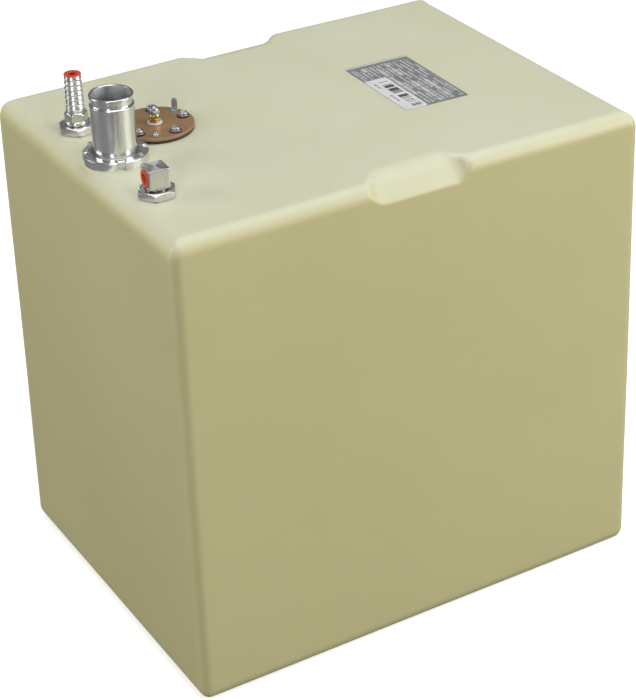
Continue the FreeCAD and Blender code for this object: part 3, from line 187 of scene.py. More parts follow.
def moulded_group(name: str) -> bpy.types.NodeTree:
    """Build the skin of a moulded plastic: slow mottling, orange peel and fine grain.

    Args:
        name: the group's name.

    Returns:
        The node group.
    """
    wiring, given, out = group_wiring(name, {"Mottle Scale": 6.0, "Peel Scale": 160.0,
                                             "Grain Scale": 1500.0}, ("Tone", "Height"))
    spot = wiring.add("TexCoord").outputs["Object"]
    mottle = wiring.add("TexNoise", {"Vector": spot, "Scale": given.outputs["Mottle Scale"],
                                     "Detail": 4.0, "Roughness": 0.6})
    peel = wiring.add("TexNoise", {"Vector": spot, "Scale": given.outputs["Peel Scale"],
                                   "Detail": 2.0, "Roughness": 0.5})
    grain = wiring.add("TexNoise", {"Vector": spot, "Scale": given.outputs["Grain Scale"],
                                    "Detail": 1.0})
    fine = wiring.math("MULTIPLY", grain.outputs["Fac"], 0.3)
    wiring.feed(out.inputs["Tone"], mottle.outputs["Fac"])
    wiring.feed(out.inputs["Height"], wiring.math("ADD", peel.outputs["Fac"], fine))
    return wiring.tree


def turned_group(name: str) -> bpy.types.NodeTree:
    """Build lathe marks: fine rings about the piece's own axis, and a slow change along them.

    Args:
        name: the group's name.

    Returns:
        The node group.
    """
    wiring, given, out = group_wiring(name, {"Rings": 2500.0, "Wander": 0.4}, ("Tone", "Height"))
    spot = wiring.add("TexCoord").outputs["Object"]
    parts = wiring.add("SeparateXYZ", {"Vector": spot})
    across = wiring.math("SQRT", wiring.math(
        "ADD", wiring.math("POWER", parts.outputs["X"], 2.0),
        wiring.math("POWER", parts.outputs["Y"], 2.0)))
    travel = wiring.math("ADD", across, parts.outputs["Z"])
    feed_marks = wiring.math("MULTIPLY", travel, given.outputs["Rings"])
    drift = wiring.add("TexNoise", {"Vector": spot, "Scale": 60.0, "Detail": 2.0})
    phase = wiring.math("ADD", feed_marks,
                        wiring.math("MULTIPLY", drift.outputs["Fac"], given.outputs["Wander"]))
    rings = wiring.add("TexNoise", {"W": phase, "Scale": 1.0, "Detail": 3.0},
                       noise_dimensions="1D")
    wiring.feed(out.inputs["Tone"], drift.outputs["Fac"])
    wiring.feed(out.inputs["Height"], rings.outputs["Fac"])
    return wiring.tree


def brushed_group(name: str) -> bpy.types.NodeTree:
    """Build straight mill and brush marks that run along the piece's own Z.

    Args:
        name: the group's name.

    Returns:
        The node group.
    """
    wiring, given, out = group_wiring(name, {"Fineness": 2200.0, "Length": 60.0},
                                      ("Tone", "Height"))
    spot = wiring.add("TexCoord").outputs["Object"]
    stretch = wiring.add("CombineXYZ", {"X": given.outputs["Fineness"],
                                        "Y": given.outputs["Fineness"],
                                        "Z": given.outputs["Length"]})
    scaled = wiring.add("VectorMath", {0: spot, 1: stretch.outputs["Vector"]},
                        operation="MULTIPLY").outputs["Vector"]
    strokes = wiring.add("TexNoise", {"Vector": scaled, "Scale": 1.0, "Detail": 4.0,
                                      "Roughness": 0.65})
    slow = wiring.add("TexNoise", {"Vector": spot, "Scale": 90.0, "Detail": 2.0})
    wiring.feed(out.inputs["Tone"], slow.outputs["Fac"])
    wiring.feed(out.inputs["Height"], strokes.outputs["Fac"])
    return wiring.tree


def wear_and_highlight_group(name: str) -> bpy.types.NodeTree:
    """Build a mask of convex outer edges, broken up by noise; the fittings use it for rubbed wear,
    the tank for a painted highlight along its rounded edges.

    Args:
        name: the group's name.

    Returns:
        The node group.
    """
    wiring, given, out = group_wiring(name, {"Start": 0.52, "Full": 0.62, "Break Up": 400.0},
                                      ("Mask",))
    convex = wiring.add("NewGeometry").outputs["Pointiness"]
    edge = wiring.add("MapRange", {"Value": convex, "From Min": given.outputs["Start"],
                                   "From Max": given.outputs["Full"]},
                      interpolation_type="SMOOTHSTEP").outputs["Result"]
    spot = wiring.add("TexCoord").outputs["Object"]
    noise = wiring.add("TexNoise", {"Vector": spot, "Scale": given.outputs["Break Up"],
                                    "Detail": 3.0})
    patchy = wiring.ramp(noise.outputs["Fac"], 0.3, 0.7, 0.35, 1.0)
    wiring.feed(out.inputs["Mask"], wiring.math("MULTIPLY", edge, patchy, clamp=True))
    return wiring.tree


def top_light_group(name: str) -> bpy.types.NodeTree:
    """Build a mask of painted top light: the faces that look up are painted paler, in patches.

    Args:
        name: the group's name.

    Returns:
        The node group.
    """
    wiring, given, out = group_wiring(name, {"Cover": 1.0, "Patch Scale": 9.0}, ("Mask",))
    up = wiring.add("SeparateXYZ", {"Vector": wiring.add("NewGeometry").outputs["Normal"]})
    # painted light: the more a face looks up, the more of the pale top-light tint it is painted
    # with
    facing = wiring.ramp(up.outputs["Z"], 0.25, 0.98)
    spot = wiring.add("TexCoord").outputs["Object"]
    noise = wiring.add("TexNoise", {"Vector": spot, "Scale": given.outputs["Patch Scale"],
                                    "Detail": 5.0, "Roughness": 0.6})
    patchy = wiring.ramp(noise.outputs["Fac"], 0.25, 0.75, 0.75, 1.0)
    amount = wiring.math("MULTIPLY", facing, patchy)
    wiring.feed(out.inputs["Mask"], wiring.math("MULTIPLY", amount, given.outputs["Cover"],
                                                clamp=True))
    return wiring.tree


def print_group(name: str) -> bpy.types.NodeTree:
    """Build rows of small unreadable print blocks over a sheet whose own X and Y are its sides.

    Along and Across are metres from the sheet's middle; a row is one line of print.

    Args:
        name: the group's name.

    Returns:
        The node group.
    """
    wiring, given, out = group_wiring(
        name, {"Along": 0.0, "Across": 0.0, "Row Pitch": 0.005, "Word Length": 0.012,
               "Row Fill": 0.5, "Seed": 1.0}, ("Mask",))
    row_place = wiring.math("DIVIDE", given.outputs["Across"], given.outputs["Row Pitch"])
    row = wiring.math("FLOOR", row_place)
    inside_row = wiring.math("SUBTRACT", row_place, row)
    band = wiring.math("COMPARE", inside_row, 0.5, wiring.math(
        "MULTIPLY", given.outputs["Row Fill"], 0.5))
    seed = wiring.math("ADD", wiring.math("MULTIPLY", row, 7.31), given.outputs["Seed"])
    start = wiring.add("TexWhiteNoise", {"W": seed}, noise_dimensions="1D").outputs["Value"]
    shifted = wiring.math("ADD", given.outputs["Along"], wiring.math("MULTIPLY", start, 0.05))
    word_place = wiring.math("DIVIDE", shifted, given.outputs["Word Length"])
    word = wiring.add("TexWhiteNoise", {"W": wiring.math("ADD", wiring.math("FLOOR", word_place),
                                                        seed)}, noise_dimensions="1D")
    worded = wiring.math("GREATER_THAN", word.outputs["Value"], 0.22)
    letter_place = wiring.math("MULTIPLY", word_place, 9.0)
    letter = wiring.add("TexWhiteNoise", {"W": wiring.math("ADD", wiring.math(
        "FLOOR", letter_place), seed)}, noise_dimensions="1D")
    inked = wiring.ramp(letter.outputs["Value"], 0.1, 0.6, 0.25, 1.0)
    mask = wiring.math("MULTIPLY", wiring.math("MULTIPLY", band, worded), inked)
    wiring.feed(out.inputs["Mask"], mask)
    return wiring.tree


GROUP_MAKERS: dict[str, Callable[[str], bpy.types.NodeTree]] = {
    "moulded_skin": moulded_group,
    "turned_marks": turned_group,
    "brushed_marks": brushed_group,
    "edge_wear": wear_and_highlight_group,
    "settled_dust": top_light_group,
    "print_rows": print_group,
}


def shared_group(name: str) -> bpy.types.NodeTree:
    """Return a shared node group, building it the first time."""
    return bpy.data.node_groups.get(name) or GROUP_MAKERS[name](name)


# ------------------------------------------------------------------ finishes

class Marks(Enum):
    """How a metal surface was left by the shop."""

    TURNED = "turned_marks"
    BRUSHED = "brushed_marks"
    PLATED = "moulded_skin"


@dataclass(frozen=True)
class Finish:
    """What every finish has: a name, and a slot name, which the script stores but does not use."""

    name: str
    slot: str

    def material(self) -> bpy.types.Material:
        """Return this finish's material, building it the first time."""
        known = bpy.data.materials.get(f"finish_{self.name}")
        if known:
            return known
        made = bpy.data.materials.new(f"finish_{self.name}")
        made.use_nodes = True
        wiring = Wiring(made.node_tree)
        shader = wiring.add("BsdfPrincipled")
        surface = wiring.add("OutputMaterial")
        wiring.feed(surface.inputs["Surface"], shader.outputs["BSDF"])
        self.dress(wiring, shader)
        return made

    def dress(self, wiring: Wiring, shader: bpy.types.Node) -> None:
        """Wire this finish's colour, roughness and bump to the shader."""
        raise NotImplementedError

    @staticmethod
    def bump(wiring: Wiring, shader: bpy.types.Node, height: bpy.types.NodeSocket,
             depth: float) -> None:
        """Feed a height through a Bump node into the shader's normal."""
        relief = wiring.add("Bump", {"Height": height, "Distance": depth * MM, "Strength": 1.0})
        wiring.feed(shader.inputs["Normal"], relief.outputs["Normal"])


@dataclass(frozen=True)
class TankPlastic(Finish):
    """Natural polyethylene: milky and slightly translucent, with a painted top light that makes the
    faces that look up paler.
    """

    body: Colour = (0.57, 0.53, 0.272)
    deep: Colour = (0.55, 0.51, 0.26)
    # painted highlight: the pale colour painted along the tank's rounded edges
    rubbed_and_lit: Colour = (0.68, 0.67, 0.45)
    # painted top light: the paler, cooler colour painted on the faces that look up
    top_light_tint: Colour = (0.69, 0.70, 0.535)
    scatter: float = 0.25

    def dress(self, wiring: Wiring, shader: bpy.types.Node) -> None:
        """Mix the body colour with slow mottling, a painted top light and a painted highlight along
        the rounded edges.

        Args:
            wiring: the material's node wiring.
            shader: the Principled shader to feed.
        """
        skin = wiring.place("moulded_skin", Mottle_Scale=4.0, Peel_Scale=95.0, Grain_Scale=1400.0)
        tone = wiring.ramp(skin.outputs["Tone"], 0.3, 0.7)
        base = wiring.blend(tone, self.deep, self.body)
        # painted top light: the faces that look up are painted paler, in patches
        top_light = wiring.place("settled_dust", Cover=0.95, Patch_Scale=7.0)
        # painted highlight: a pale band painted along the rounded edges, at a quarter strength
        wear_and_highlight = wiring.place("edge_wear", Start=0.504, Full=0.53, Break_Up=30.0)
        faint = wiring.math("MULTIPLY", wear_and_highlight.outputs["Mask"], 0.25)
        topped = wiring.blend(top_light.outputs["Mask"], wiring.blend(faint, base, self.rubbed_and_lit),
                              self.top_light_tint)
        wiring.feed(shader.inputs["Base Color"], topped)
        wiring.feed(shader.inputs["Roughness"],
                    wiring.ramp(skin.outputs["Tone"], 0.3, 0.7, 0.4, 0.46))
        shader.inputs["Subsurface Weight"].default_value = self.scatter
        shader.inputs["Subsurface Radius"].default_value = (1.0, 0.9, 0.5)
        shader.inputs["Subsurface Scale"].default_value = 0.006
        self.bump(wiring, shader, skin.outputs["Height"], 0.05)


@dataclass(frozen=True)
class Plastic(Finish):
    """A moulded or rubbery finish with grain, mottling and paler rubbed edges."""

    colour: Colour = (0.5, 0.5, 0.5)
    roughness: float = 0.4
    peel_scale: float = 700.0
    depth: float = 0.02
    spread: float = 0.18
    scatter: float = 0.0

    def dress(self, wiring: Wiring, shader: bpy.types.Node) -> None:
        """Vary the colour about its mean and rub the edges paler.

        Args:
            wiring: the material's node wiring.
            shader: the Principled shader to feed.
        """
        skin = wiring.place("moulded_skin", Mottle_Scale=60.0, Peel_Scale=self.peel_scale,
                            Grain_Scale=4000.0)
        tone = wiring.ramp(skin.outputs["Tone"], 0.3, 0.7)
        dark = tuple(part * (1 - self.spread) for part in self.colour)
        light = tuple(min(1.0, part * (1 + self.spread)) for part in self.colour)
        rubbed_and_lit = tuple(0.75 * part + 0.25 * 0.8 for part in light)
        wear_and_highlight = wiring.place("edge_wear", Start=0.54, Full=0.7, Break_Up=500.0)
        faint = wiring.math("MULTIPLY", wear_and_highlight.outputs["Mask"], 0.5)
        mixed = wiring.blend(faint, wiring.blend(tone, dark, light), rubbed_and_lit)
        wiring.feed(shader.inputs["Base Color"], mixed)
        wiring.feed(shader.inputs["Roughness"], wiring.ramp(
            skin.outputs["Tone"], 0.3, 0.7, self.roughness - 0.06, self.roughness + 0.06))
        if self.scatter:
            shader.inputs["Subsurface Weight"].default_value = self.scatter
            shader.inputs["Subsurface Radius"].default_value = (1.0, 0.4, 0.3)
            shader.inputs["Subsurface Scale"].default_value = 0.0015
        self.bump(wiring, shader, skin.outputs["Height"], self.depth)


@dataclass(frozen=True)
class Metal(Finish):
    """A bare or plated metal with the marks of how it was made."""

    colour: Colour = (0.7, 0.7, 0.7)
    roughness: float = 0.2
    marks: Marks = Marks.TURNED
    depth: float = 0.004
    anisotropy: float = 0.0
    spread: float = 0.1

    def dress(self, wiring: Wiring, shader: bpy.types.Node) -> None:
        """Streak the metal with its marks and brighten its rubbed edges.

        Args:
            wiring: the material's node wiring.
            shader: the Principled shader to feed.
        """
        marks = wiring.place(self.marks.value)
        streak = wiring.ramp(marks.outputs["Height"], 0.3, 0.7)
        dark = tuple(part * (1 - self.spread) for part in self.colour)
        wear_and_highlight = wiring.place("edge_wear", Start=0.55, Full=0.75, Break_Up=700.0)
        bright = tuple(min(1.0, part * 1.12) for part in self.colour)
        mixed = wiring.blend(wear_and_highlight.outputs["Mask"], wiring.blend(streak, dark, self.colour), bright)
        wiring.feed(shader.inputs["Base Color"], mixed)
        wiring.feed(shader.inputs["Roughness"], wiring.ramp(
            marks.outputs["Tone"], 0.3, 0.7, self.roughness * 0.8, self.roughness * 1.25))
        shader.inputs["Metallic"].default_value = 1.0
        if self.anisotropy:
            shader.inputs["Anisotropic"].default_value = self.anisotropy
            shader.inputs["Anisotropic Rotation"].default_value = 0.25
            around = wiring.add("Tangent", direction_type="RADIAL", axis="Z")
            wiring.feed(shader.inputs["Tangent"], around.outputs["Tangent"])
        self.bump(wiring, shader, marks.outputs["Height"], self.depth)


@dataclass(frozen=True)
class Laminate(Finish):
    """Brown phenolic sheet: resin over a fine weave, with paler fibres at its cut edge."""

    face: Colour = (0.265, 0.148, 0.068)
    fibre: Colour = (0.36, 0.215, 0.105)

    def dress(self, wiring: Wiring, shader: bpy.types.Node) -> None:
        """Cross two fine brush directions for the weave and lighten the rim.

        Args:
            wiring: the material's node wiring.
            shader: the Principled shader to feed.
        """
        skin = wiring.place("moulded_skin", Mottle_Scale=45.0, Peel_Scale=900.0,
                            Grain_Scale=2600.0)
        weave = wiring.place("brushed_marks", Fineness=1500.0, Length=1500.0)
        speckle = wiring.math("MULTIPLY", wiring.ramp(weave.outputs["Height"], 0.35, 0.75), 0.55)
        mottled = wiring.math("ADD", speckle, wiring.ramp(skin.outputs["Tone"], 0.3, 0.8, 0.0, 0.3))
        wear_and_highlight = wiring.place("edge_wear", Start=0.53, Full=0.66, Break_Up=900.0)
        mask = wiring.math("ADD", mottled, wear_and_highlight.outputs["Mask"], clamp=True)
        wiring.feed(shader.inputs["Base Color"], wiring.blend(mask, self.face, self.fibre))
        wiring.feed(shader.inputs["Roughness"],
                    wiring.ramp(skin.outputs["Tone"], 0.3, 0.7, 0.34, 0.46))
        self.bump(wiring, shader, skin.outputs["Height"], 0.01)


@dataclass(frozen=True)
class PrintedFilm(Finish):
    """A metallised or paper label, printed in rows of unreadable blocks."""

    ground: Colour = (0.20, 0.205, 0.21)
    ink: Colour = (0.62, 0.63, 0.63)
    roughness: float = 0.35
    metallic: float = 0.0
    bars: bool = False

    def dress(self, wiring: Wiring, shader: bpy.types.Node) -> None:
        """Lay print over the ground colour.

        Args:
            wiring: the material's node wiring.
            shader: the Principled shader to feed.
        """
        spot = wiring.add("SeparateXYZ", {"Vector": wiring.add("TexCoord").outputs["Object"]})
        across, along = spot.outputs["X"], spot.outputs["Y"]
        mask = self.barcode(wiring, across, along) if self.bars else self.rows(
            wiring, across, along)
        skin = wiring.place("moulded_skin", Mottle_Scale=35.0, Peel_Scale=600.0,
                            Grain_Scale=3000.0)
        tone = wiring.ramp(skin.outputs["Tone"], 0.3, 0.7)
        darker = tuple(part * 0.85 for part in self.ground)
        ground = wiring.blend(tone, darker, self.ground)
        wiring.feed(shader.inputs["Base Color"], wiring.blend(mask, ground, self.ink))
        wiring.feed(shader.inputs["Roughness"], wiring.ramp(
            skin.outputs["Tone"], 0.3, 0.7, self.roughness - 0.05, self.roughness + 0.05))
        shader.inputs["Metallic"].default_value = self.metallic
        self.bump(wiring, shader, skin.outputs["Height"], 0.01)

    @staticmethod
    def rows(wiring: Wiring, across: bpy.types.NodeSocket,
             along: bpy.types.NodeSocket) -> bpy.types.NodeSocket:
        """Print fine rows, a few bold rows, and the heavy line at the label's far end.

        Args:
            wiring: the material's node wiring.
            across: the place across the sheet.
            along: the place along the sheet.

        Returns:
            The mask of the printed rows.
        """
        fine = wiring.place("print_rows", Along=along, Across=across, Row_Pitch=0.0041,
                            Word_Length=0.0085, Row_Fill=0.44, Seed=3.0).outputs["Mask"]
        bold = wiring.place("print_rows", Along=along, Across=across, Row_Pitch=0.0123,
                            Word_Length=0.017, Row_Fill=0.34, Seed=11.0).outputs["Mask"]
        margin = wiring.math("COMPARE", along, -0.002, 0.0495)
        print_area = wiring.math("MULTIPLY", wiring.math("MAXIMUM", fine, wiring.math(
            "MULTIPLY", bold, 0.9)), margin)
        sides = wiring.math("COMPARE", across, 0.0, 0.0305)
        end_line = wiring.math("COMPARE", along, 0.0532, 0.0012)
        return wiring.math("MAXIMUM", wiring.math("MULTIPLY", print_area, sides), end_line)

    @staticmethod
    def barcode(wiring: Wiring, across: bpy.types.NodeSocket,
                along: bpy.types.NodeSocket) -> bpy.types.NodeSocket:
        """Print a block of plain bars with one short row of blocks beside it.

        Args:
            wiring: the material's node wiring.
            across: the place across the sheet.
            along: the place along the sheet.

        Returns:
            The mask of the printed bars.
        """
        bar = wiring.add("TexWhiteNoise", {"W": wiring.math("FLOOR", wiring.math(
            "MULTIPLY", along, 900.0))}, noise_dimensions="1D").outputs["Value"]
        barred = wiring.math("GREATER_THAN", bar, 0.42)
        block = wiring.math("MULTIPLY", wiring.math("COMPARE", across, 0.0036, 0.0049),
                            wiring.math("COMPARE", along, -0.002, 0.031))
        digits = wiring.place("print_rows", Along=along, Across=across, Row_Pitch=0.012,
                              Word_Length=0.009, Row_Fill=0.22, Seed=5.0).outputs["Mask"]
        strip = wiring.math("MULTIPLY", wiring.math("COMPARE", across, -0.0055, 0.002),
                            wiring.math("COMPARE", along, 0.006, 0.022))
        shade = wiring.math("MULTIPLY", wiring.math("MULTIPLY", digits, strip), 0.7)
        return wiring.math("MAXIMUM", wiring.math("MULTIPLY", barred, block), shade)


@dataclass(frozen=True)
class StudioPaper(Finish):
    """The plain pale floor that the tank stands on."""

    colour: Colour = (0.9, 0.9, 0.9)
    shade: Colour = (0.3, 0.3, 0.3)
    glow: float = 0.0

    def dress(self, wiring: Wiring, shader: bpy.types.Node) -> None:
        """Give the paper a slight tooth, and let it bounce less light than it shows.

        Args:
            wiring: the material's node wiring.
            shader: the Principled shader to feed.
        """
        skin = wiring.place("moulded_skin", Mottle_Scale=1.5, Peel_Scale=60.0, Grain_Scale=900.0)
        tone = wiring.ramp(skin.outputs["Tone"], 0.2, 0.8)
        darker = tuple(part * 0.985 for part in self.colour)
        seen = wiring.add("LightPath").outputs["Is Camera Ray"]
        paper = wiring.blend(tone, darker, self.colour)
        wiring.feed(shader.inputs["Base Color"], wiring.blend(seen, self.shade, paper))
        wiring.feed(shader.inputs["Emission Color"],
                    wiring.blend(seen, (0.0, 0.0, 0.0), (1.0, 1.0, 1.0)))
        shader.inputs["Emission Strength"].default_value = self.glow
        shader.inputs["Roughness"].default_value = 0.9
        shader.inputs["Specular IOR Level"].default_value = 0.1
        self.bump(wiring, shader, skin.outputs["Height"], 0.01)


POLYETHYLENE = TankPlastic("natural_polyethylene", "poly_shell")
TURNED_ALUMINIUM = Metal("turned_aluminium", "aluminium", (0.80, 0.80, 0.80), 0.19,
                         Marks.TURNED, 0.002, 0.7)
RING_ALUMINIUM = Metal("ring_aluminium", "aluminium", (0.78, 0.78, 0.78), 0.24, Marks.TURNED,
                       0.002)
BARB_ALUMINIUM = Metal("barb_aluminium", "aluminium", (0.72, 0.72, 0.72), 0.3, Marks.TURNED,
                       0.002)
BORE_ALUMINIUM = Metal("bored_aluminium", "aluminium", (0.74, 0.75, 0.76), 0.5, Marks.TURNED,
                       0.006)
MILLED_ALUMINIUM = Metal("milled_aluminium", "brushed_aluminium", (0.78, 0.78, 0.77), 0.27,
                         Marks.BRUSHED, 0.006, 0.0, 0.14)
FACED_ALUMINIUM = Metal("faced_aluminium", "brushed_aluminium", (0.78, 0.78, 0.78), 0.34,
                        Marks.TURNED, 0.004, 0.95)
HEX_ALUMINIUM = Metal("hexagon_aluminium", "aluminium", (0.76, 0.76, 0.75), 0.27,
                      Marks.BRUSHED, 0.004)
ZINC = Metal("zinc_plate", "zinc_steel", (0.44, 0.45, 0.46), 0.34, Marks.PLATED, 0.001)
TINNED = Metal("tinned_blade", "zinc_steel", (0.5, 0.5, 0.5), 0.5, Marks.BRUSHED, 0.001)
BRASS = Metal("brass", "brass", (0.64, 0.53, 0.23), 0.22, Marks.TURNED, 0.002)
RUBBER = Plastic("black_rubber", "rubber_black", (0.028, 0.028, 0.03), 0.62, 900.0, 0.03)
RED_PLUG = Plastic("red_plug", "red_plastic", (0.60, 0.07, 0.026), 0.42, 800.0, 0.01, 0.08, 0.2)
NYLON = Plastic("white_nylon", "white_nylon", (0.76, 0.76, 0.74), 0.38, 900.0, 0.01, 0.05, 0.3)
BLACK_PLASTIC = Plastic("black_plastic", "black_plastic", (0.03, 0.03, 0.033), 0.45)
FLOAT_FOAM = Plastic("float_foam", "float_rubber", (0.045, 0.045, 0.045), 0.8, 420.0, 0.12)
CARD = Plastic("resistor_card", "resistor_ceramic", (0.06, 0.17, 0.09), 0.4)
LEAD = Plastic("lead_insulation", "lead_insulation", (0.62, 0.16, 0.03), 0.42)
PHENOLIC = Laminate("phenolic", "phenolic_brown")
LABEL_FILM = PrintedFilm("label_film", "label_silver", (0.235, 0.24, 0.245), (0.60, 0.61, 0.61))
STICKER_PAPER = PrintedFilm("sticker_paper", "sticker_white", (0.80, 0.80, 0.79),
                            (0.085, 0.09, 0.09), 0.45, 0.0, True)
FLOOR_PAPER = StudioPaper("studio_paper", "poly_shell", (0.93, 0.93, 0.93), (0.26, 0.26, 0.26),
                          0.5)


# ------------------------------------------------------------------ mesh making

@dataclass(frozen=True)
class Spot:
    """Where a CAD node stands: its middle in plan and its lowest and highest points."""

    x: float
    y: float
    low: float
    high: float

    @classmethod
    def of(cls, node: str) -> "Spot":
        """Read a node's place from the frame, in millimetres."""
        low, high = (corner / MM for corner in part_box(node))
        return cls((low.x + high.x) / 2, (low.y + high.y) / 2, low.z, high.z)

    def at(self, height: float) -> Vector:
        """Return the point on this axis at a height, in metres."""
        return Vector((self.x, self.y, height)) * MM


def rounded(corners: Sequence[Corner], steps: int = 4) -> list[tuple[float, float]]:
    """Round the corners of a closed outline with arcs.

    Args:
        corners: (across, along, radius of rounding) of each corner, in order.
        steps: how many segments each arc has.

    Returns:
        Points of the outline; a corner with no rounding is repeated, so that outlines with
        the same corners always have the same number of points.
    """
    spots = [Vector((across, along)) for across, along, _ in corners]
    points = []
    for index, (_, _, radius) in enumerate(corners):
        here = spots[index]
        back = spots[index - 1] - here
        ahead = spots[(index + 1) % len(spots)] - here
        short = min(back.length, ahead.length) < 1e-6
        if radius <= 0 or short or (back.normalized() + ahead.normalized()).length < 1e-3:
            points += [tuple(here)] * (steps + 1) if radius > 0 else [tuple(here)]
            continue
        half = back.angle(ahead) / 2
        reach = min(radius / max(math.tan(half), 1e-6), 0.48 * back.length, 0.48 * ahead.length)
        start, end = here + back.normalized() * reach, here + ahead.normalized() * reach
        bisector = (back.normalized() + ahead.normalized()).normalized()
        centre = here + bisector * (reach / math.cos(half))
        arm, sweep = start - centre, (start - centre).angle_signed(end - centre)
        for step in range(steps + 1):
            turn = Matrix.Rotation(-sweep * step / steps, 2)
            points.append(tuple(centre + turn @ arm))
    return points


def even_angles(count: int) -> list[float]:
    """Return evenly spaced angles round a circle."""
    return [2 * math.pi * index / count for index in range(count)]


def ring_mesh(name: str, outline_at: Callable[[float], list[tuple[float, float]]],
              angles: Sequence[float]) -> bpy.types.Mesh:
    """Make a solid by carrying an outline round the Z axis, letting it change as it goes.

    Args:
        name: the mesh's name.
        outline_at: gives the closed outline's (radius, height) points at an angle.
        angles: where the outline is taken, in order round the circle.

    Returns:
        The closed mesh, in metres. Points on the axis become one shared point.
    """
    body = bmesh.new()
    columns = []
    axis_points: dict[int, bmesh.types.BMVert] = {}
    for angle in angles:
        column = []
        for order, (radius, height) in enumerate(outline_at(angle)):
            if radius < 1e-7:
                if order not in axis_points:
                    axis_points[order] = body.verts.new((0.0, 0.0, height * MM))
                column.append(axis_points[order])
            else:
                column.append(body.verts.new((radius * math.cos(angle) * MM,
                                              radius * math.sin(angle) * MM, height * MM)))
        columns.append(column)
    count = len(columns[0])
    for index, column in enumerate(columns):
        after = columns[(index + 1) % len(columns)]
        for order in range(count):
            following = (order + 1) % count
            loop = [column[order], after[order], after[following], column[following]]
            face = list(dict.fromkeys(loop))
            if len(face) > 2:
                body.faces.new(face)
    bmesh.ops.remove_doubles(body, verts=body.verts, dist=1e-8)
    bmesh.ops.dissolve_degenerate(body, edges=body.edges, dist=1e-8)
    bmesh.ops.recalc_face_normals(body, faces=body.faces)
    return finished_mesh(name, body)


def finished_mesh(name: str, body: bmesh.types.BMesh) -> bpy.types.Mesh:
    """Turn a bmesh into a smooth-shaded mesh.

    Args:
        name: the mesh's name.
        body: the bmesh; it is used up.

    Returns:
        The mesh.
    """
    mesh = bpy.data.meshes.new(name)
    for face in body.faces:
        face.smooth = True
    body.to_mesh(mesh)
    body.free()
    return mesh


def turned_mesh(name: str, corners: Sequence[Corner], sides: int = 96,
                steps: int = 4) -> bpy.types.Mesh:
    """Make a plain turned solid from its outline's corners.

    Args:
        name: the mesh's name.
        corners: (radius, height, rounding) of each corner of its section.
        sides: how many steps it has round the axis.
        steps: how many segments each rounding has.

    Returns:
        The mesh.
    """
    outline = rounded(corners, steps)
    return ring_mesh(name, lambda angle: outline, even_angles(sides))


def polygon_radius(angle: float, sides: int, flat: float, rounding: float) -> float:
    """Return how far out a rounded regular polygon reaches at an angle.

    Args:
        angle: the direction, measured from the middle of a flat.
        sides: the number of flats.
        flat: the distance from the middle to a flat.
        rounding: the radius of its corners.

    Returns:
        The distance from the middle to the outline.
    """
    sector = 2 * math.pi / sides
    off_flat = abs((angle + sector / 2) % sector - sector / 2)
    straight = math.atan((flat - rounding) * math.tan(sector / 2) / flat)
    if off_flat <= straight:
        return flat / math.cos(off_flat)
    corner = (flat - rounding) / math.cos(sector / 2)
    off_corner = sector / 2 - off_flat
    return corner * math.cos(off_corner) + math.sqrt(
        max(0.0, rounding ** 2 - (corner * math.sin(off_corner)) ** 2))


def polygon_angles(sides: int, per_side: int) -> list[float]:
    """Return angles round a polygon that crowd towards its corners.

    Args:
        sides: the number of flats.
        per_side: how many angles each flat gets.

    Returns:
        The angles, in order round the polygon.
    """
    sector = 2 * math.pi / sides
    shares = [0.5 - 0.5 * math.cos(math.pi * step / per_side) for step in range(per_side)]
    crowded = [0.5 * (share + step / per_side) for step, share in enumerate(shares)]
    return [(side + 0.5 + share) * sector
            for side in range(sides) for share in crowded]


def add_piece(name: str, mesh: bpy.types.Mesh, finish: Finish, body: str, replaced: Sequence[str],
              place: Matrix, even: bool = True) -> bpy.types.Object:
    """Put a finished piece in the scene.

    Args:
        name: the piece's name.
        mesh: its mesh, about its own origin.
        finish: what it is made of.
        body: the CAD body that it moves with.
        replaced: the CAD nodes that it stands for.
        place: where its origin goes, and how it is turned.
        even: whether large faces keep flat shading beside small roundings.

    Returns:
        The piece's object.
    """
    piece = bpy.data.objects.new(name, mesh)
    bpy.context.scene.collection.objects.link(piece)
    piece.matrix_world = place
    mesh.materials.append(finish.material())
    if even:
        shading = piece.modifiers.new("even_shading", "WEIGHTED_NORMAL")
        shading.keep_sharp = True
    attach(piece, body)
    if replaced:
        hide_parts(*replaced)
    log.info("piece %s: %d faces", name, len(mesh.polygons))
    return piece


def paint_faces(piece: bpy.types.Object, finish: Finish,
                wanted: Callable[[Vector, Vector], bool]) -> None:
    """Give a second finish to the faces whose middle and normal are wanted.

    Args:
        piece: the piece to paint.
        finish: the second finish.
        wanted: tells from the middle and normal whether a face is painted.
    """
    piece.data.materials.append(finish.material())
    for face in piece.data.polygons:
        if wanted(face.center, face.normal):
            face.material_index = len(piece.data.materials) - 1


def dress_node(node: str, finish: Finish) -> None:
    """Give a carried-over CAD node its finish.

    Args:
        node: the CAD node.
        finish: its finish.
    """
    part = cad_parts[node]
    part.data.materials.clear()
    part.data.materials.append(finish.material())
    for face in part.data.polygons:
        face.use_smooth = True
    log.info("node %s: %s", node, finish.name)


def standing(point: Vector, turn: float = 0.0) -> Matrix:
    """Return the placement of an upright piece at a point, turned in degrees."""
    return Matrix.Translation(point) @ Matrix.Rotation(math.radians(turn), 4, "Z")


# ------------------------------------------------------------------ moulded body

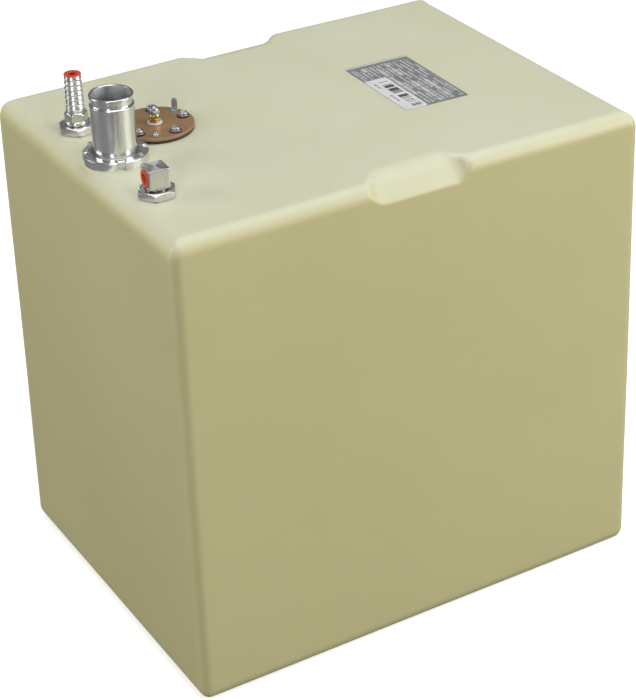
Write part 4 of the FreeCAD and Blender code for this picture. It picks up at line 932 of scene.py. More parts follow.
@dataclass
class MouldedTank:
    """The tank's body: a drafted, rounded box with two strap notches, hollow inside."""

    end_draft: float = 2.43
    side_draft: float = 5.8
    corner: float = 10.0
    top_side: float = 13.5
    top_end: float = 18.0
    base: float = 14.0
    crown: float = 1.2
    crown_middle: float = 30.0
    crown_reach: float = 180.0
    waviness: float = 0.22
    wall: float = 6.0
    notch_middle: float = 3.0
    notch_half: float = 41.0
    notch_run: float = 18.7
    notch_drop: float = 17.3
    notch_low_round: float = 1.2
    notch_high_round: float = 8.0
    ramp_edge_round: float = 3.0
    ramp_round_near: float = 6.0
    ramp_round_far: float = 4.5
    pad_radius: float = 29.1
    pad_blend: float = 5.0
    nut_pad_radius: float = 19.5
    nut_pad_rise: float = 0.35
    nut_pad_blend: float = 1.5
    pad_edge_round: float = 1.2
    end_blend: float = 12.0
    ramp_change: float = 10.0
    edge_change: float = 12.0
    ramp_reach: float = 6.0
    fine_step: float = 1.7
    wide_step: float = 9.0
    inner_fine_step: float = 4.0
    inner_wide_step: float = 16.0
    edge_reach: float = 24.0
    base_reach: float = 20.0
    side_extra: float = 4.0
    notch_reach: float = 8.0
    shrink_over: float = 240.0
    slope_nudge: float = 0.05
    least_slope: float = 0.2
    settle_damping: float = 0.9
    neck_hole: float = 22.6
    nut_hole: float = 10.3
    sender_hole: float = 20.0
    hole_below: float = 14.0
    hole_above: float = 8.0
    shell: Spot = field(default_factory=lambda: Spot.of("tank_shell"))

    def __post_init__(self) -> None:
        """Read the outside size and the fittings' places from the frame."""
        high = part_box("tank_shell")[1] / MM
        self.half_length = high.x - self.end_draft
        self.half_width = high.y - self.side_draft
        self.height = self.shell.high
        self.neck = Spot.of("fill_neck")
        self.vent = Spot.of("vent_seal")
        self.outlet = Spot.of("outlet_seal")
        self.sender = Spot.of("sender_gasket")

    def top_height(self, x: np.ndarray, y: np.ndarray) -> np.ndarray:
        """Return the height of the slightly crowned top face, in millimetres.

        Args:
            x: places along the tank.
            y: places across the tank.

        Returns:
            The height at each place.
        """
        share = np.clip(np.abs(x - self.crown_middle) / self.crown_reach, 0, 1)
        level = self.height + self.crown * np.cos(share * math.pi / 2) ** 2
        for nut in (self.vent, self.outlet):
            away = np.hypot(x - nut.x, y - nut.y)
            level = level + self.nut_pad_rise * (1 - smooth(
                away, self.nut_pad_radius - self.nut_pad_blend,
                self.nut_pad_radius + self.nut_pad_blend))
        return level

    def distance(self, spots: np.ndarray) -> np.ndarray:
        """Return how far each point lies outside the body's surface (negative inside).

        Args:
            spots: the points, in millimetres.

        Returns:
            A distance for each point.
        """
        x, y, z = spots.T
        fall = 1 - z / self.height
        ripple = self.waviness * (np.sin(x / 47 + 1.3) * np.sin(y / 39 + 0.4)
                                  + np.sin(z / 53 + 0.7) * np.sin((x + y) / 61))
        ends = np.abs(x) - self.half_length - self.end_draft * fall + ripple * 0.6
        sides = np.abs(y) - self.half_width - self.side_draft * fall + ripple
        top = z - self.top_height(x, y) + ripple * 0.15
        upright = round_max(ends, sides, self.corner)
        towards_end = smooth(ends - sides, -self.end_blend, self.end_blend)
        edge = self.top_side + (self.top_end - self.top_side) * towards_end
        block = round_max(upright, top, edge)
        pad = round_max(np.hypot(x - self.neck.x, y - self.neck.y) - self.pad_radius,
                        z - self.height, self.pad_edge_round)
        block = -round_max(-block, -pad, self.pad_blend)
        block = round_max(block, -z, self.base)
        return self.notched(block, x, y, z)

    def notched(self, block: np.ndarray, x: np.ndarray, y: np.ndarray,
                z: np.ndarray) -> np.ndarray:
        """Take the ramp-ended strap notches out of both long top edges.

        Args:
            block: the distances to the body without notches.
            x: the points' places along the tank.
            y: the points' places across the tank.
            z: the points' heights.

        Returns:
            The distances to the notched body.
        """
        slope = math.hypot(self.notch_run, self.notch_drop)
        above = ((np.abs(y) - self.half_width + self.notch_run) * self.notch_drop
                 + (z - self.height) * self.notch_run) / slope
        along = x - self.notch_middle
        past_ramp = (np.abs(along) - self.notch_half - above) / math.sqrt(2)
        hollow_round = self.ramp_round_near + (self.ramp_round_far - self.ramp_round_near) * smooth(
            along, -self.ramp_change, self.ramp_change)
        taken = round_max(-above, past_ramp, hollow_round)
        low_edge = self.height - self.notch_drop
        edge_round = self.notch_low_round + (self.notch_high_round - self.notch_low_round) * smooth(
            z, low_edge, low_edge + self.edge_change)
        at_ramp = smooth(past_ramp + above, -self.ramp_reach, 0)
        edge_round = edge_round + (self.ramp_edge_round - edge_round) * at_ramp
        return round_max(block, -taken, edge_round)

    def lines(self, low: float, high: float, details: Sequence[tuple[float, float]],
              fine: float, wide: float) -> np.ndarray:
        """Space grid lines closely in the stretches with detail and widely elsewhere.

        Args:
            low: where the lines start.
            high: where they end.
            details: (start, end) of each stretch with detail.
            fine: the spacing within a stretch.
            wide: the widest spacing.

        Returns:
            The places of the lines, from low to high.
        """
        places = [low]
        while places[-1] < high - fine / 2:
            here = places[-1]
            gap = min([wide] + [max(fine, 0.25 * max(start - here, here - end, 0))
                                for start, end in details])
            places.append(min(here + gap, high))
        return np.array(places)

    def skin(self, inset: float, fine: float, wide: float) -> tuple[np.ndarray, list]:
        """Wrap a grid of quads round the body.

        Args:
            inset: how far inside the outer surface the skin lies.
            fine: the grid's step along edges and notches.
            wide: the grid's widest step.

        Returns:
            The points, and the faces as lists of point numbers.
        """
        reach = self.edge_reach
        half_x, half_y = self.half_length + self.end_draft, self.half_width + self.side_draft
        notch_out = self.notch_half + self.notch_drop
        middle = self.notch_middle
        xs = self.lines(-half_x, half_x, [
            (-half_x, -half_x + reach), (half_x - reach, half_x),
            (middle - notch_out, middle - self.notch_half + self.notch_reach),
            (middle + self.notch_half - self.notch_reach, middle + notch_out)], fine, wide)
        ys = self.lines(-half_y, half_y, [
            (-half_y, -half_y + reach + self.side_extra),
            (half_y - reach - self.side_extra, half_y)], fine, wide)
        zs = self.lines(0.0, self.height, [
            (0.0, self.base_reach), (self.height - reach, self.height)], fine, wide)
        numbers: dict[tuple[int, int, int], int] = {}
        spots = []
        last = (len(xs) - 1, len(ys) - 1, len(zs) - 1)

        def number(key: tuple[int, int, int]) -> int:
            """Return the number of a grid point, adding it when new."""
            if key not in numbers:
                numbers[key] = len(spots)
                spots.append((xs[key[0]], ys[key[1]], zs[key[2]]))
            return numbers[key]

        faces = []
        for axis in range(3):
            first, second = (axis + 1) % 3, (axis + 2) % 3
            for end in (0, last[axis]):
                for i in range(last[first]):
                    for j in range(last[second]):
                        loop = []
                        for di, dj in ((0, 0), (1, 0), (1, 1), (0, 1)):
                            key = [0, 0, 0]
                            key[axis], key[first], key[second] = end, i + di, j + dj
                            loop.append(number(tuple(key)))
                        faces.append(loop if end else loop[::-1])
        centre = np.array([0.0, 0.0, self.height / 2])
        shrink = 1 - inset / self.shrink_over
        placed = self.settle(centre + (np.array(spots) - centre) * shrink, inset, 14)
        return self.relax(placed, np.array(faces), inset), faces

    def relax(self, spots: np.ndarray, quads: np.ndarray, inset: float,
              rounds: int = 10) -> np.ndarray:
        """Even out the grid's spacing, keeping its points on the surface.

        Args:
            spots: the points.
            quads: the four point numbers of each face.
            inset: how far inside the outer surface the points belong.
            rounds: how often the points are evened out.

        Returns:
            The moved points.
        """
        ends = np.vstack([quads[:, [side, (side + 1) % 4]] for side in range(4)])
        ends = np.unique(np.sort(ends, axis=1), axis=0)
        count = np.bincount(ends.ravel(), minlength=len(spots))[:, None]
        for _ in range(rounds):
            total = np.zeros_like(spots)
            np.add.at(total, ends[:, 0], spots[ends[:, 1]])
            np.add.at(total, ends[:, 1], spots[ends[:, 0]])
            spots = self.settle(spots * 0.5 + total / count * 0.5, inset, 2)
        return self.settle(spots, inset, 3)

    def settle(self, spots: np.ndarray, inset: float, rounds: int) -> np.ndarray:
        """Move points along the distance's slope until they lie on the surface.

        Args:
            spots: the points.
            inset: how far inside the outer surface they belong.
            rounds: how often they are moved.

        Returns:
            The moved points.
        """
        nudge = self.slope_nudge
        for _ in range(rounds):
            gap = self.distance(spots) + inset
            slope = np.stack([(self.distance(spots + step) - self.distance(spots - step))
                              / (2 * nudge) for step in np.eye(3) * nudge], axis=1)
            size = np.maximum((slope ** 2).sum(axis=1), self.least_slope)
            spots = spots - slope * (gap / size)[:, None] * self.settle_damping
        return spots

    def build(self) -> bpy.types.Object:
        """Make the hollow body, open it under each fitting and put it in the scene."""
        outer, outer_faces = self.skin(0.0, self.fine_step, self.wide_step)
        inner, inner_faces = self.skin(self.wall, self.inner_fine_step,
                                             self.inner_wide_step)
        shifted = [[number + len(outer) for number in face[::-1]] for face in inner_faces]
        mesh = bpy.data.meshes.new("moulded_body")
        mesh.from_pydata((np.vstack([outer, inner]) * MM).tolist(), [], outer_faces + shifted)
        mesh.update()
        holes = [(self.neck, self.neck_hole), (self.vent, self.nut_hole),
                 (self.outlet, self.nut_hole), (self.sender, self.sender_hole)]
        low, high = self.height - self.hole_below, self.height + self.hole_above
        body = cut_holes(mesh, [(spot, radius, low, high) for spot, radius in holes])
        return add_piece("moulded_body", body, POLYETHYLENE, TANK, ["tank_shell"],
                         Matrix.Identity(4), even=False)


def smooth(value: np.ndarray, low: float, high: float) -> np.ndarray:
    """Rise smoothly from 0 to 1 between two values.

    Args:
        value: where to look.
        low: where the rise starts.
        high: where it ends.

    Returns:
        A share from 0 to 1.
    """
    share = np.clip((value - low) / (high - low), 0, 1)
    return share * share * (3 - 2 * share)


def round_max(first: np.ndarray, second: np.ndarray, radius: object) -> np.ndarray:
    """Intersect two distances with a circular rounding of the given radius.

    Args:
        first: distances to one shape.
        second: distances to the other.
        radius: the rounding where they meet, a number or one for each point.

    Returns:
        Distances to what the shapes share.
    """
    return (np.minimum(-radius, np.maximum(first, second))
            + np.hypot(np.maximum(first + radius, 0), np.maximum(second + radius, 0)))


def drilled(mesh: bpy.types.Mesh, drill_mesh: bpy.types.Mesh) -> bpy.types.Mesh:
    """Take one mesh's shape out of another; both are used up.

    Args:
        mesh: the solid.
        drill_mesh: the shape to take out.

    Returns:
        The mesh that is left.
    """
    solid, drill = (bpy.data.objects.new(item.name, item) for item in (mesh, drill_mesh))
    bpy.context.scene.collection.objects.link(solid)
    bpy.context.scene.collection.objects.link(drill)
    boolean = solid.modifiers.new("drilling", "BOOLEAN")
    boolean.operation = "DIFFERENCE"
    boolean.solver = "EXACT"
    boolean.object = drill
    bpy.context.view_layer.update()
    seen = solid.evaluated_get(bpy.context.evaluated_depsgraph_get())
    result = bpy.data.meshes.new_from_object(seen)
    result.materials.clear()
    for spent in (solid, drill):
        bpy.data.objects.remove(spent)
    result.polygons.foreach_set("use_smooth", [True] * len(result.polygons))
    return result


def cut_holes(mesh: bpy.types.Mesh, holes: Sequence[tuple]) -> bpy.types.Mesh:
    """Cut round upright holes through a mesh.

    Args:
        mesh: the solid to cut; it is used up.
        holes: (spot, radius, low, high) of each hole, in millimetres.

    Returns:
        The mesh with the holes in it.
    """
    drills = bmesh.new()
    for spot, radius, low, high in holes:
        bmesh.ops.create_cone(drills, cap_ends=True, segments=64, radius1=radius * MM,
                              radius2=radius * MM, depth=(high - low) * MM,
                              matrix=Matrix.Translation(spot.at((low + high) / 2)))
    return drilled(mesh, finished_mesh("hole_drills", drills))


# ------------------------------------------------------------------ filler neck

@dataclass
class FillerNeck:
    """The turned filler neck, its castellated lock ring and the two lock screws."""

    bore: float = 16.5
    barrel: float = 19.05
    flange: float = 24.0
    root: float = 2.4
    groove: float = 1.5
    groove_width: float = 6.6
    groove_below_rim: float = 6.3
    rim_bevel: float = 0.7
    foot: float = 21.4
    flange_low: float = 1.2
    flange_top: float = 5.8
    ring: float = 28.3
    ring_inside: float = 24.4
    ring_lip: float = 5.85
    slot_cut: float = 3.2
    slot_width: float = 7.4
    slot_turn: float = -105.0
    slots: int = 4
    ring_bore: float = 22.1
    screw_circle: float = 25.6
    screw_turn: float = 121.0

    def __post_init__(self) -> None:
        """Read the places of the neck and the ring from the frame."""
        self.neck = Spot.of("fill_neck")
        self.lock_ring = Spot.of("fill_lock_ring")
        self.top = self.lock_ring.low

    def neck_mesh(self) -> bpy.types.Mesh:
        """Turn the neck with its bead groove, rim and root fillet."""
        low = self.neck.low - self.top
        rim = self.neck.high - self.top
        groove_top = rim - self.groove_below_rim + self.groove_width / 2
        groove_low = groove_top - self.groove_width
        waist = self.barrel - self.groove
        corners = [
            (self.bore, low, 0.4), (self.foot, low, 0.6), (self.foot, self.flange_low, 0.0),
            (self.flange, self.flange_low, 0.3), (self.flange, self.flange_top, 0.5),
            (self.barrel, self.flange_top, self.root), (self.barrel, groove_low, 0.35),
            (waist, groove_low + self.groove * 0.8, 1.3),
            (waist, groove_top - self.groove * 0.8, 1.3), (self.barrel, groove_top, 0.35),
            (self.barrel, rim - self.rim_bevel, 0.5),
            (self.barrel - self.rim_bevel, rim, 0.3),
            (self.bore + self.rim_bevel, rim, 0.3), (self.bore, rim - self.rim_bevel, 0.4),
        ]
        return turned_mesh("filler_neck", corners, 128, 5)

    def ring_mesh(self) -> bpy.types.Mesh:
        """Make the lock ring with its spanner slots cut through the rim."""
        height = self.lock_ring.high - self.top
        half_slot = math.asin(self.slot_width / 2 / self.ring)
        edge = math.radians(0.5)
        turns = [math.radians(self.slot_turn) + 2 * math.pi * slot / self.slots
                 for slot in range(self.slots)]
        angles = sorted(set(even_angles(120)) | {
            (turn + side * (half_slot + past)) % (2 * math.pi)
            for turn in turns for side in (-1, 1) for past in (-edge, 0.0, edge)})

        def outline(angle: float) -> list[tuple[float, float]]:
            """Give the ring's section, set back inside a slot.

            Args:
                angle: the direction, in radians.

            Returns:
                The (radius, height) points of the section.
            """
            off = min(abs((angle - turn + math.pi) % (2 * math.pi) - math.pi) for turn in turns)
            outer = self.ring if off > half_slot - edge / 2 else self.ring - self.slot_cut
            return rounded([
                (self.ring_inside, 0.0, 0.0), (outer, 0.0, 0.3), (outer, height - 1.0, 0.35),
                (outer - 1.1, height, 0.35), (self.ring_bore + 1.2, height, 0.4),
                (self.ring_bore, height - 1.2, 0.4), (self.ring_bore, self.ring_lip, 0.2),
                (self.ring_inside, self.ring_lip, 0.0)], 3)
        return ring_mesh("lock_ring", outline, angles)

    def build(self) -> None:
        """Put the neck, ring and lock screws in the scene."""
        neck = add_piece("filler_neck", self.neck_mesh(), TURNED_ALUMINIUM, TANK, ["fill_neck"],
                         standing(self.neck.at(self.top)))
        paint_faces(neck, BORE_ALUMINIUM, lambda middle, normal: math.hypot(
            middle.x, middle.y) < (self.bore + 0.1) * MM)
        add_piece("lock_ring", self.ring_mesh(), RING_ALUMINIUM, TANK, ["fill_lock_ring"],
                  standing(self.lock_ring.at(self.top)))
        seat = self.lock_ring.high
        for half in range(2):
            angle = math.radians(self.screw_turn + 180 * half)
            spot = Spot(self.neck.x + self.screw_circle * math.cos(angle),
                        self.neck.y + self.screw_circle * math.sin(angle), seat, seat)
            add_piece(f"lock_screw_{half + 1}",
                      screw_mesh(f"lock_screw_{half + 1}", 1.3, 15.0, 2.4, 1.9, 0.55), ZINC, TANK,
                      ["fill_lock_screws"], standing(spot.at(seat), 40 + 55 * half))
        dress_node("fill_gasket", RUBBER)
        dress_node("fill_insert", TURNED_ALUMINIUM)


def screw_mesh(name: str, shank: float, length: float, head: float, height: float,
               recess: float) -> bpy.types.Mesh:
    """Make a pan-head screw with a cross recess.

    Args:
        name: the mesh's name.
        shank: the shank's radius.
        length: the shank's length below the seat.
        head: the head's radius.
        height: the head's height.
        recess: the recess's arm length, as a share of the head's radius.

    Returns:
        The mesh, with its seat at height 0.
    """
    arm, half_width, depth = head * recess, head * 0.12, height * 0.4
    crown = [0.0, 0.12, 0.2, 0.3, 0.4, 0.5, 0.56, 0.62, 0.72, 0.82]

    def outline(angle: float) -> list[tuple[float, float]]:
        """Give the screw's section, sunk where an arm of the recess crosses it.

        Args:
            angle: the direction, in radians.

        Returns:
            The (radius, height) points of the section.
        """
        folded = (angle + math.pi / 4) % (math.pi / 2) - math.pi / 4
        points = [(0.0, -length), (shank, -length), (shank, 0.0), (head * 0.97, 0.0),
                  (head, height * 0.12), (head, height * 0.45), (head * 0.93, height * 0.72)]
        for share in reversed(crown):
            radius = share * head
            dome = height * (0.72 + 0.28 * math.cos(share * math.pi / 2) ** 0.8)
            aside, out = abs(radius * math.sin(folded)), radius * math.cos(folded)
            sunk = depth * float(1 - smooth(np.float64(aside), half_width, half_width * 1.6))
            sunk *= float(1 - smooth(np.float64(out), arm * 0.85, arm * 1.1))
            points.append((radius, dome - sunk))
        return points
    return ring_mesh(name, outline, even_angles(64))


def hexagon_mesh(name: str, flat: float, height: float, bore: float, rounding: float,
                 bevel: tuple[float, float], chamfer: tuple[float, float],
                 edge: float = 0.3) -> bpy.types.Mesh:
    """Make a hexagon whose corners are turned off at the top and the bottom.

    Args:
        name: the mesh's name.
        flat: the distance from the axis to a flat.
        height: the hexagon's height.
        bore: the radius of the hole through it.
        rounding: the radius of its upright corners.
        bevel: where the turned bevels start, at the top and the bottom, as shares of flat.
        chamfer: how steeply each bevel falls, at the top and the bottom.
        edge: the rounding of its edges.

    Returns:
        The mesh, standing on height 0 with a corner on +X.
    """
    def outline(angle: float) -> list[tuple[float, float]]:
        """Give the section from the bore out to the hexagon's side.

        Args:
            angle: the direction, in radians.

        Returns:
            The (radius, height) points of the section.
        """
        out = polygon_radius(angle + math.pi / 6, 6, flat, rounding)
        start_top, start_low = flat * bevel[0], flat * bevel[1]
        fall = max(out - start_top, 0.02) * chamfer[0]
        rise = max(out - start_low, 0.02) * chamfer[1]
        return rounded([
            (bore, 0.0, 0.0), (min(start_low, out - 0.02), 0.0, 0.0), (out, rise, edge),
            (out, height - fall, edge), (min(start_top, out - 0.02), height, edge),
            (bore, height, 0.0)], 3)
    return ring_mesh(name, outline, polygon_angles(6, 16))


# ------------------------------------------------------------------ vent and outlet

@dataclass
class HexAdapter:
    """A bevelled hexagon adapter screwed down on its seal."""

    name: str
    node: str
    seal: str
    insert: str
    turn: float
    flat: float = 15.05
    thread_bore: float = 6.55
    spigot_bore: float = 6.5
    spigot: float = 9.2

    def build(self) -> None:
        """Put the hexagon and its spigot in the scene and dress what lies below."""
        place, seal = Spot.of(self.node), Spot.of(self.seal)
        height = place.high - seal.high
        mesh = hexagon_mesh(self.name, self.flat, height, self.thread_bore, 0.35, (0.95, 1.08),
                            (0.5, 1.4), 0.3)
        add_piece(self.name, mesh, HEX_ALUMINIUM, TANK, [self.node],
                  standing(place.at(seal.high), self.turn))
        top = seal.high - place.low - FOOT_GAP
        foot = turned_mesh(f"{self.name}_spigot", [
            (self.spigot_bore, 0.0, 0.3), (self.spigot, 0.0, 0.5), (self.spigot, top, 0.0),
            (self.spigot_bore, top, 0.0)], 64)
        add_piece(f"{self.name}_spigot", foot, TURNED_ALUMINIUM, TANK, [],
                  standing(place.at(place.low)))
        dress_node(self.seal, RUBBER)
        dress_node(self.insert, TURNED_ALUMINIUM)


@dataclass
class VentBarb:
    """The vent's hose barb and the red plug in its end."""

    flat: float = 9.15
    hex_height: float = 12.0
    collar: float = 10.1
    collar_height: float = 4.4
    crest: float = 7.65
    taper: float = 0.75
    bite: float = 0.65
    barbs: int = 7
    shoulder: float = 1.5
    bore: float = 5.0
    turn: float = 41.0
    plug_recess: float = 3.9

    def shank_corners(self, top: float) -> list[Corner]:
        """Return the turned shank's section with its row of barbs, widest at its foot.

        Args:
            top: the height of the shank's top.

        Returns:
            (radius, height, rounding) of each corner.
        """
        start = self.hex_height - 1.0
        low = self.hex_height + self.shoulder
        pitch = (top - low) / self.barbs
        foot = self.crest + self.taper
        corners = [(self.bore, start, 0.0), (foot - 0.3, start, 0.0),
                   (foot - 0.3, self.hex_height, 0.0), (foot, low, 0.2)]
        for barb in range(self.barbs):
            crest = foot - self.taper * barb / (self.barbs - 1)
            corners += [(crest - self.bite, low + pitch * (barb + 0.1), 0.15),
                        (crest, low + pitch * (barb + 0.4), 0.12)]
        return corners + [(self.crest - self.bite, top, 0.25), (self.bore, top, 0.2)]

    def build(self) -> None:
        """Put the barb's collar, hexagon, shank and plug in the scene."""
        place, nut = Spot.of("vent_barb"), Spot.of("vent_hex_adapter")
        stand = standing(place.at(nut.high), self.turn)
        collar = turned_mesh("vent_barb_collar", [
            (self.bore, 0.0, 0.0), (self.collar - 0.5, 0.0, 0.5), (self.collar, 1.2, 0.9),
            (self.collar, self.collar_height - 1.6, 0.9),
            (self.flat - 0.4, self.collar_height, 0.0), (self.bore, self.collar_height, 0.0)], 96)
        add_piece("vent_barb_collar", collar, HEX_ALUMINIUM, TANK, ["vent_barb"], stand)
        hexagon = hexagon_mesh("vent_barb_hexagon", self.flat, self.hex_height - 3.0, self.bore,
                               0.8, (0.9, 0.97), (1.0, 0.9), 0.8)
        add_piece("vent_barb_hexagon", hexagon, HEX_ALUMINIUM, TANK, ["vent_barb"],
                  standing(place.at(nut.high + 3.0), self.turn))
        shank = turned_mesh("vent_barb_shank", self.shank_corners(place.high - nut.high), 72, 3)
        add_piece("vent_barb_shank", shank, BARB_ALUMINIUM, TANK, ["vent_barb"], stand)
        top = nut.high - place.low - FOOT_GAP
        foot = turned_mesh("vent_barb_foot", [
            (self.bore, 0.0, 0.2), (FOOT_RADIUS, 0.0, 0.4), (FOOT_RADIUS, top, 0.0),
            (self.bore, top, 0.0)], 48)
        add_piece("vent_barb_foot", foot, TURNED_ALUMINIUM, TANK, [],
                  standing(place.at(place.low)))
        plug = Spot.of("vent_plug")
        rim = 1.3
        seat = plug.high - rim
        add_piece("vent_plug_cap", plug_mesh("vent_plug_cap", 7.6, rim, 4.8, seat - plug.low,
                                             self.plug_recess), RED_PLUG, "vent_plug",
                  ["vent_plug"], standing(plug.at(seat)))


def plug_mesh(name: str, rim: float, thickness: float, stem: float, depth: float,
              recess: float) -> bpy.types.Mesh:
    """Turn a soft push-in plug, cupped from outside, with its rim's seat at height 0.

    Args:
        name: the mesh's name.
        rim: the rim's radius.
        thickness: the rim's thickness.
        stem: the stem's radius.
        depth: the stem's length below the seat.
        recess: the radius of the cup.

    Returns:
        The mesh.
    """
    return turned_mesh(name, [
        (0.0, -depth, 0.0), (stem - 0.4, -depth, 0.3), (stem, -depth + 1.2, 0.3),
        (stem, 0.0, 0.0), (rim, 0.0, 0.35), (rim, thickness, 0.55),
        (recess + 0.5, thickness * 1.02, 0.5), (recess, thickness - 0.7, 0.4),
        (recess * 0.92, 1.0 - depth, 0.4), (0.0, 1.0 - depth, 0.0)], 64, 4)


@dataclass
class OutletElbow:
    """The square outlet elbow milled from bar, with its plugged side port."""

    half: float = 9.5
    turn: float = -4.5
    corner: float = 1.5
    port: float = 6.6
    port_depth: float = 8.0
    bore: float = 4.6
    collar: float = 8.6
    lift: float = 0.3

    def block_mesh(self, height: float) -> bpy.types.Mesh:
        """Make the block, whose faced top has a shallow lathe dimple at its middle.

        Args:
            height: the block's height.

        Returns:
            The mesh, standing on height 0.
        """
        def outline(angle: float) -> list[tuple[float, float]]:
            """Give the block's section at an angle.

            Args:
                angle: the direction, in radians.

            Returns:
                The (radius, height) points of the section.
            """
            out = polygon_radius(angle, 4, self.half, self.corner)
            start = self.half * 0.97
            rise = max(out - start, 0.02) * 0.55
            return rounded([(0.0, 0.0, 0.0), (start, 0.0, 0.0), (out, rise, 0.3),
                            (out, height, 0.5), (self.half * 0.5, height, 0.0),
                            (0.5, height, 0.0), (0.0, height - 0.12, 0.0)], 3)
        return ring_mesh("outlet_block", outline, polygon_angles(4, 24))

    def build(self) -> None:
        """Cut the port and riser into the block and put the pieces in the scene."""
        place, nut = Spot.of("outlet_elbow"), Spot.of("outlet_hex_adapter")
        base = nut.high + self.lift
        height = place.high - base
        centre = standing(place.at(base), self.turn)
        block = drilled_block(self.block_mesh(height), height / 2, self.port, self.half,
                              self.port_depth, self.bore)
        piece = add_piece("outlet_block", block, MILLED_ALUMINIUM, TANK, ["outlet_elbow"], centre)
        paint_faces(piece, FACED_ALUMINIUM, lambda middle, normal: (
            normal.z > 0.9 and middle.z > (height - 0.3) * MM))
        foot = turned_mesh("outlet_neck", [
            (self.bore, 0.0, 0.2), (FOOT_RADIUS, 0.0, 0.4),
            (FOOT_RADIUS, nut.high - place.low - FOOT_GAP, 0.0),
            (self.collar, nut.high - place.low + FOOT_GAP, 0.1),
            (self.collar, base - place.low + 0.5, 0.0),
            (self.bore, base - place.low + 0.5, 0.0)], 64)
        add_piece("outlet_neck", foot, TURNED_ALUMINIUM, TANK, [],
                  standing(place.at(place.low)))
        out = Matrix.Rotation(math.radians(self.turn), 4, "Z") @ Matrix.Rotation(
            math.radians(-90), 4, "Y")
        seat = place.at(base + height / 2) + out @ Vector((0, 0, self.half * MM))
        add_piece("outlet_plug_cap", plug_mesh("outlet_plug_cap", 7.7, 0.9, 6.4, 7.0, 4.6),
                  RED_PLUG, "outlet_plug", ["outlet_plug"], Matrix.Translation(seat) @ out)


def drilled_block(mesh: bpy.types.Mesh, port_height: float, port: float, half: float,
                  depth: float, bore: float) -> bpy.types.Mesh:
    """Drill a side port towards -X, narrowing to a bore, into a block's mesh.

    Args:
        mesh: the block; it is used up.
        port_height: the height of the port's axis.
        port: the port's radius.
        half: half the block's width.
        depth: the port's depth.
        bore: the radius of the bore behind it.

    Returns:
        The drilled mesh.
    """
    floor = half - depth
    drill = turned_mesh("port_drill", [
        (0.0, 0.0, 0.0), (bore, 0.0, 0.0), (bore, floor, 0.0), (port, floor, 0.0),
        (port, half - 0.5, 0.0), (port + 1.0, half + 0.5, 0.0), (0.0, half + 0.5, 0.0)], 64)
    drill.transform(Matrix.Translation((0, 0, port_height * MM))
                    @ Matrix.Rotation(math.radians(-90), 4, "Y"))
    return drilled(mesh, drill)


# ------------------------------------------------------------------ sender head

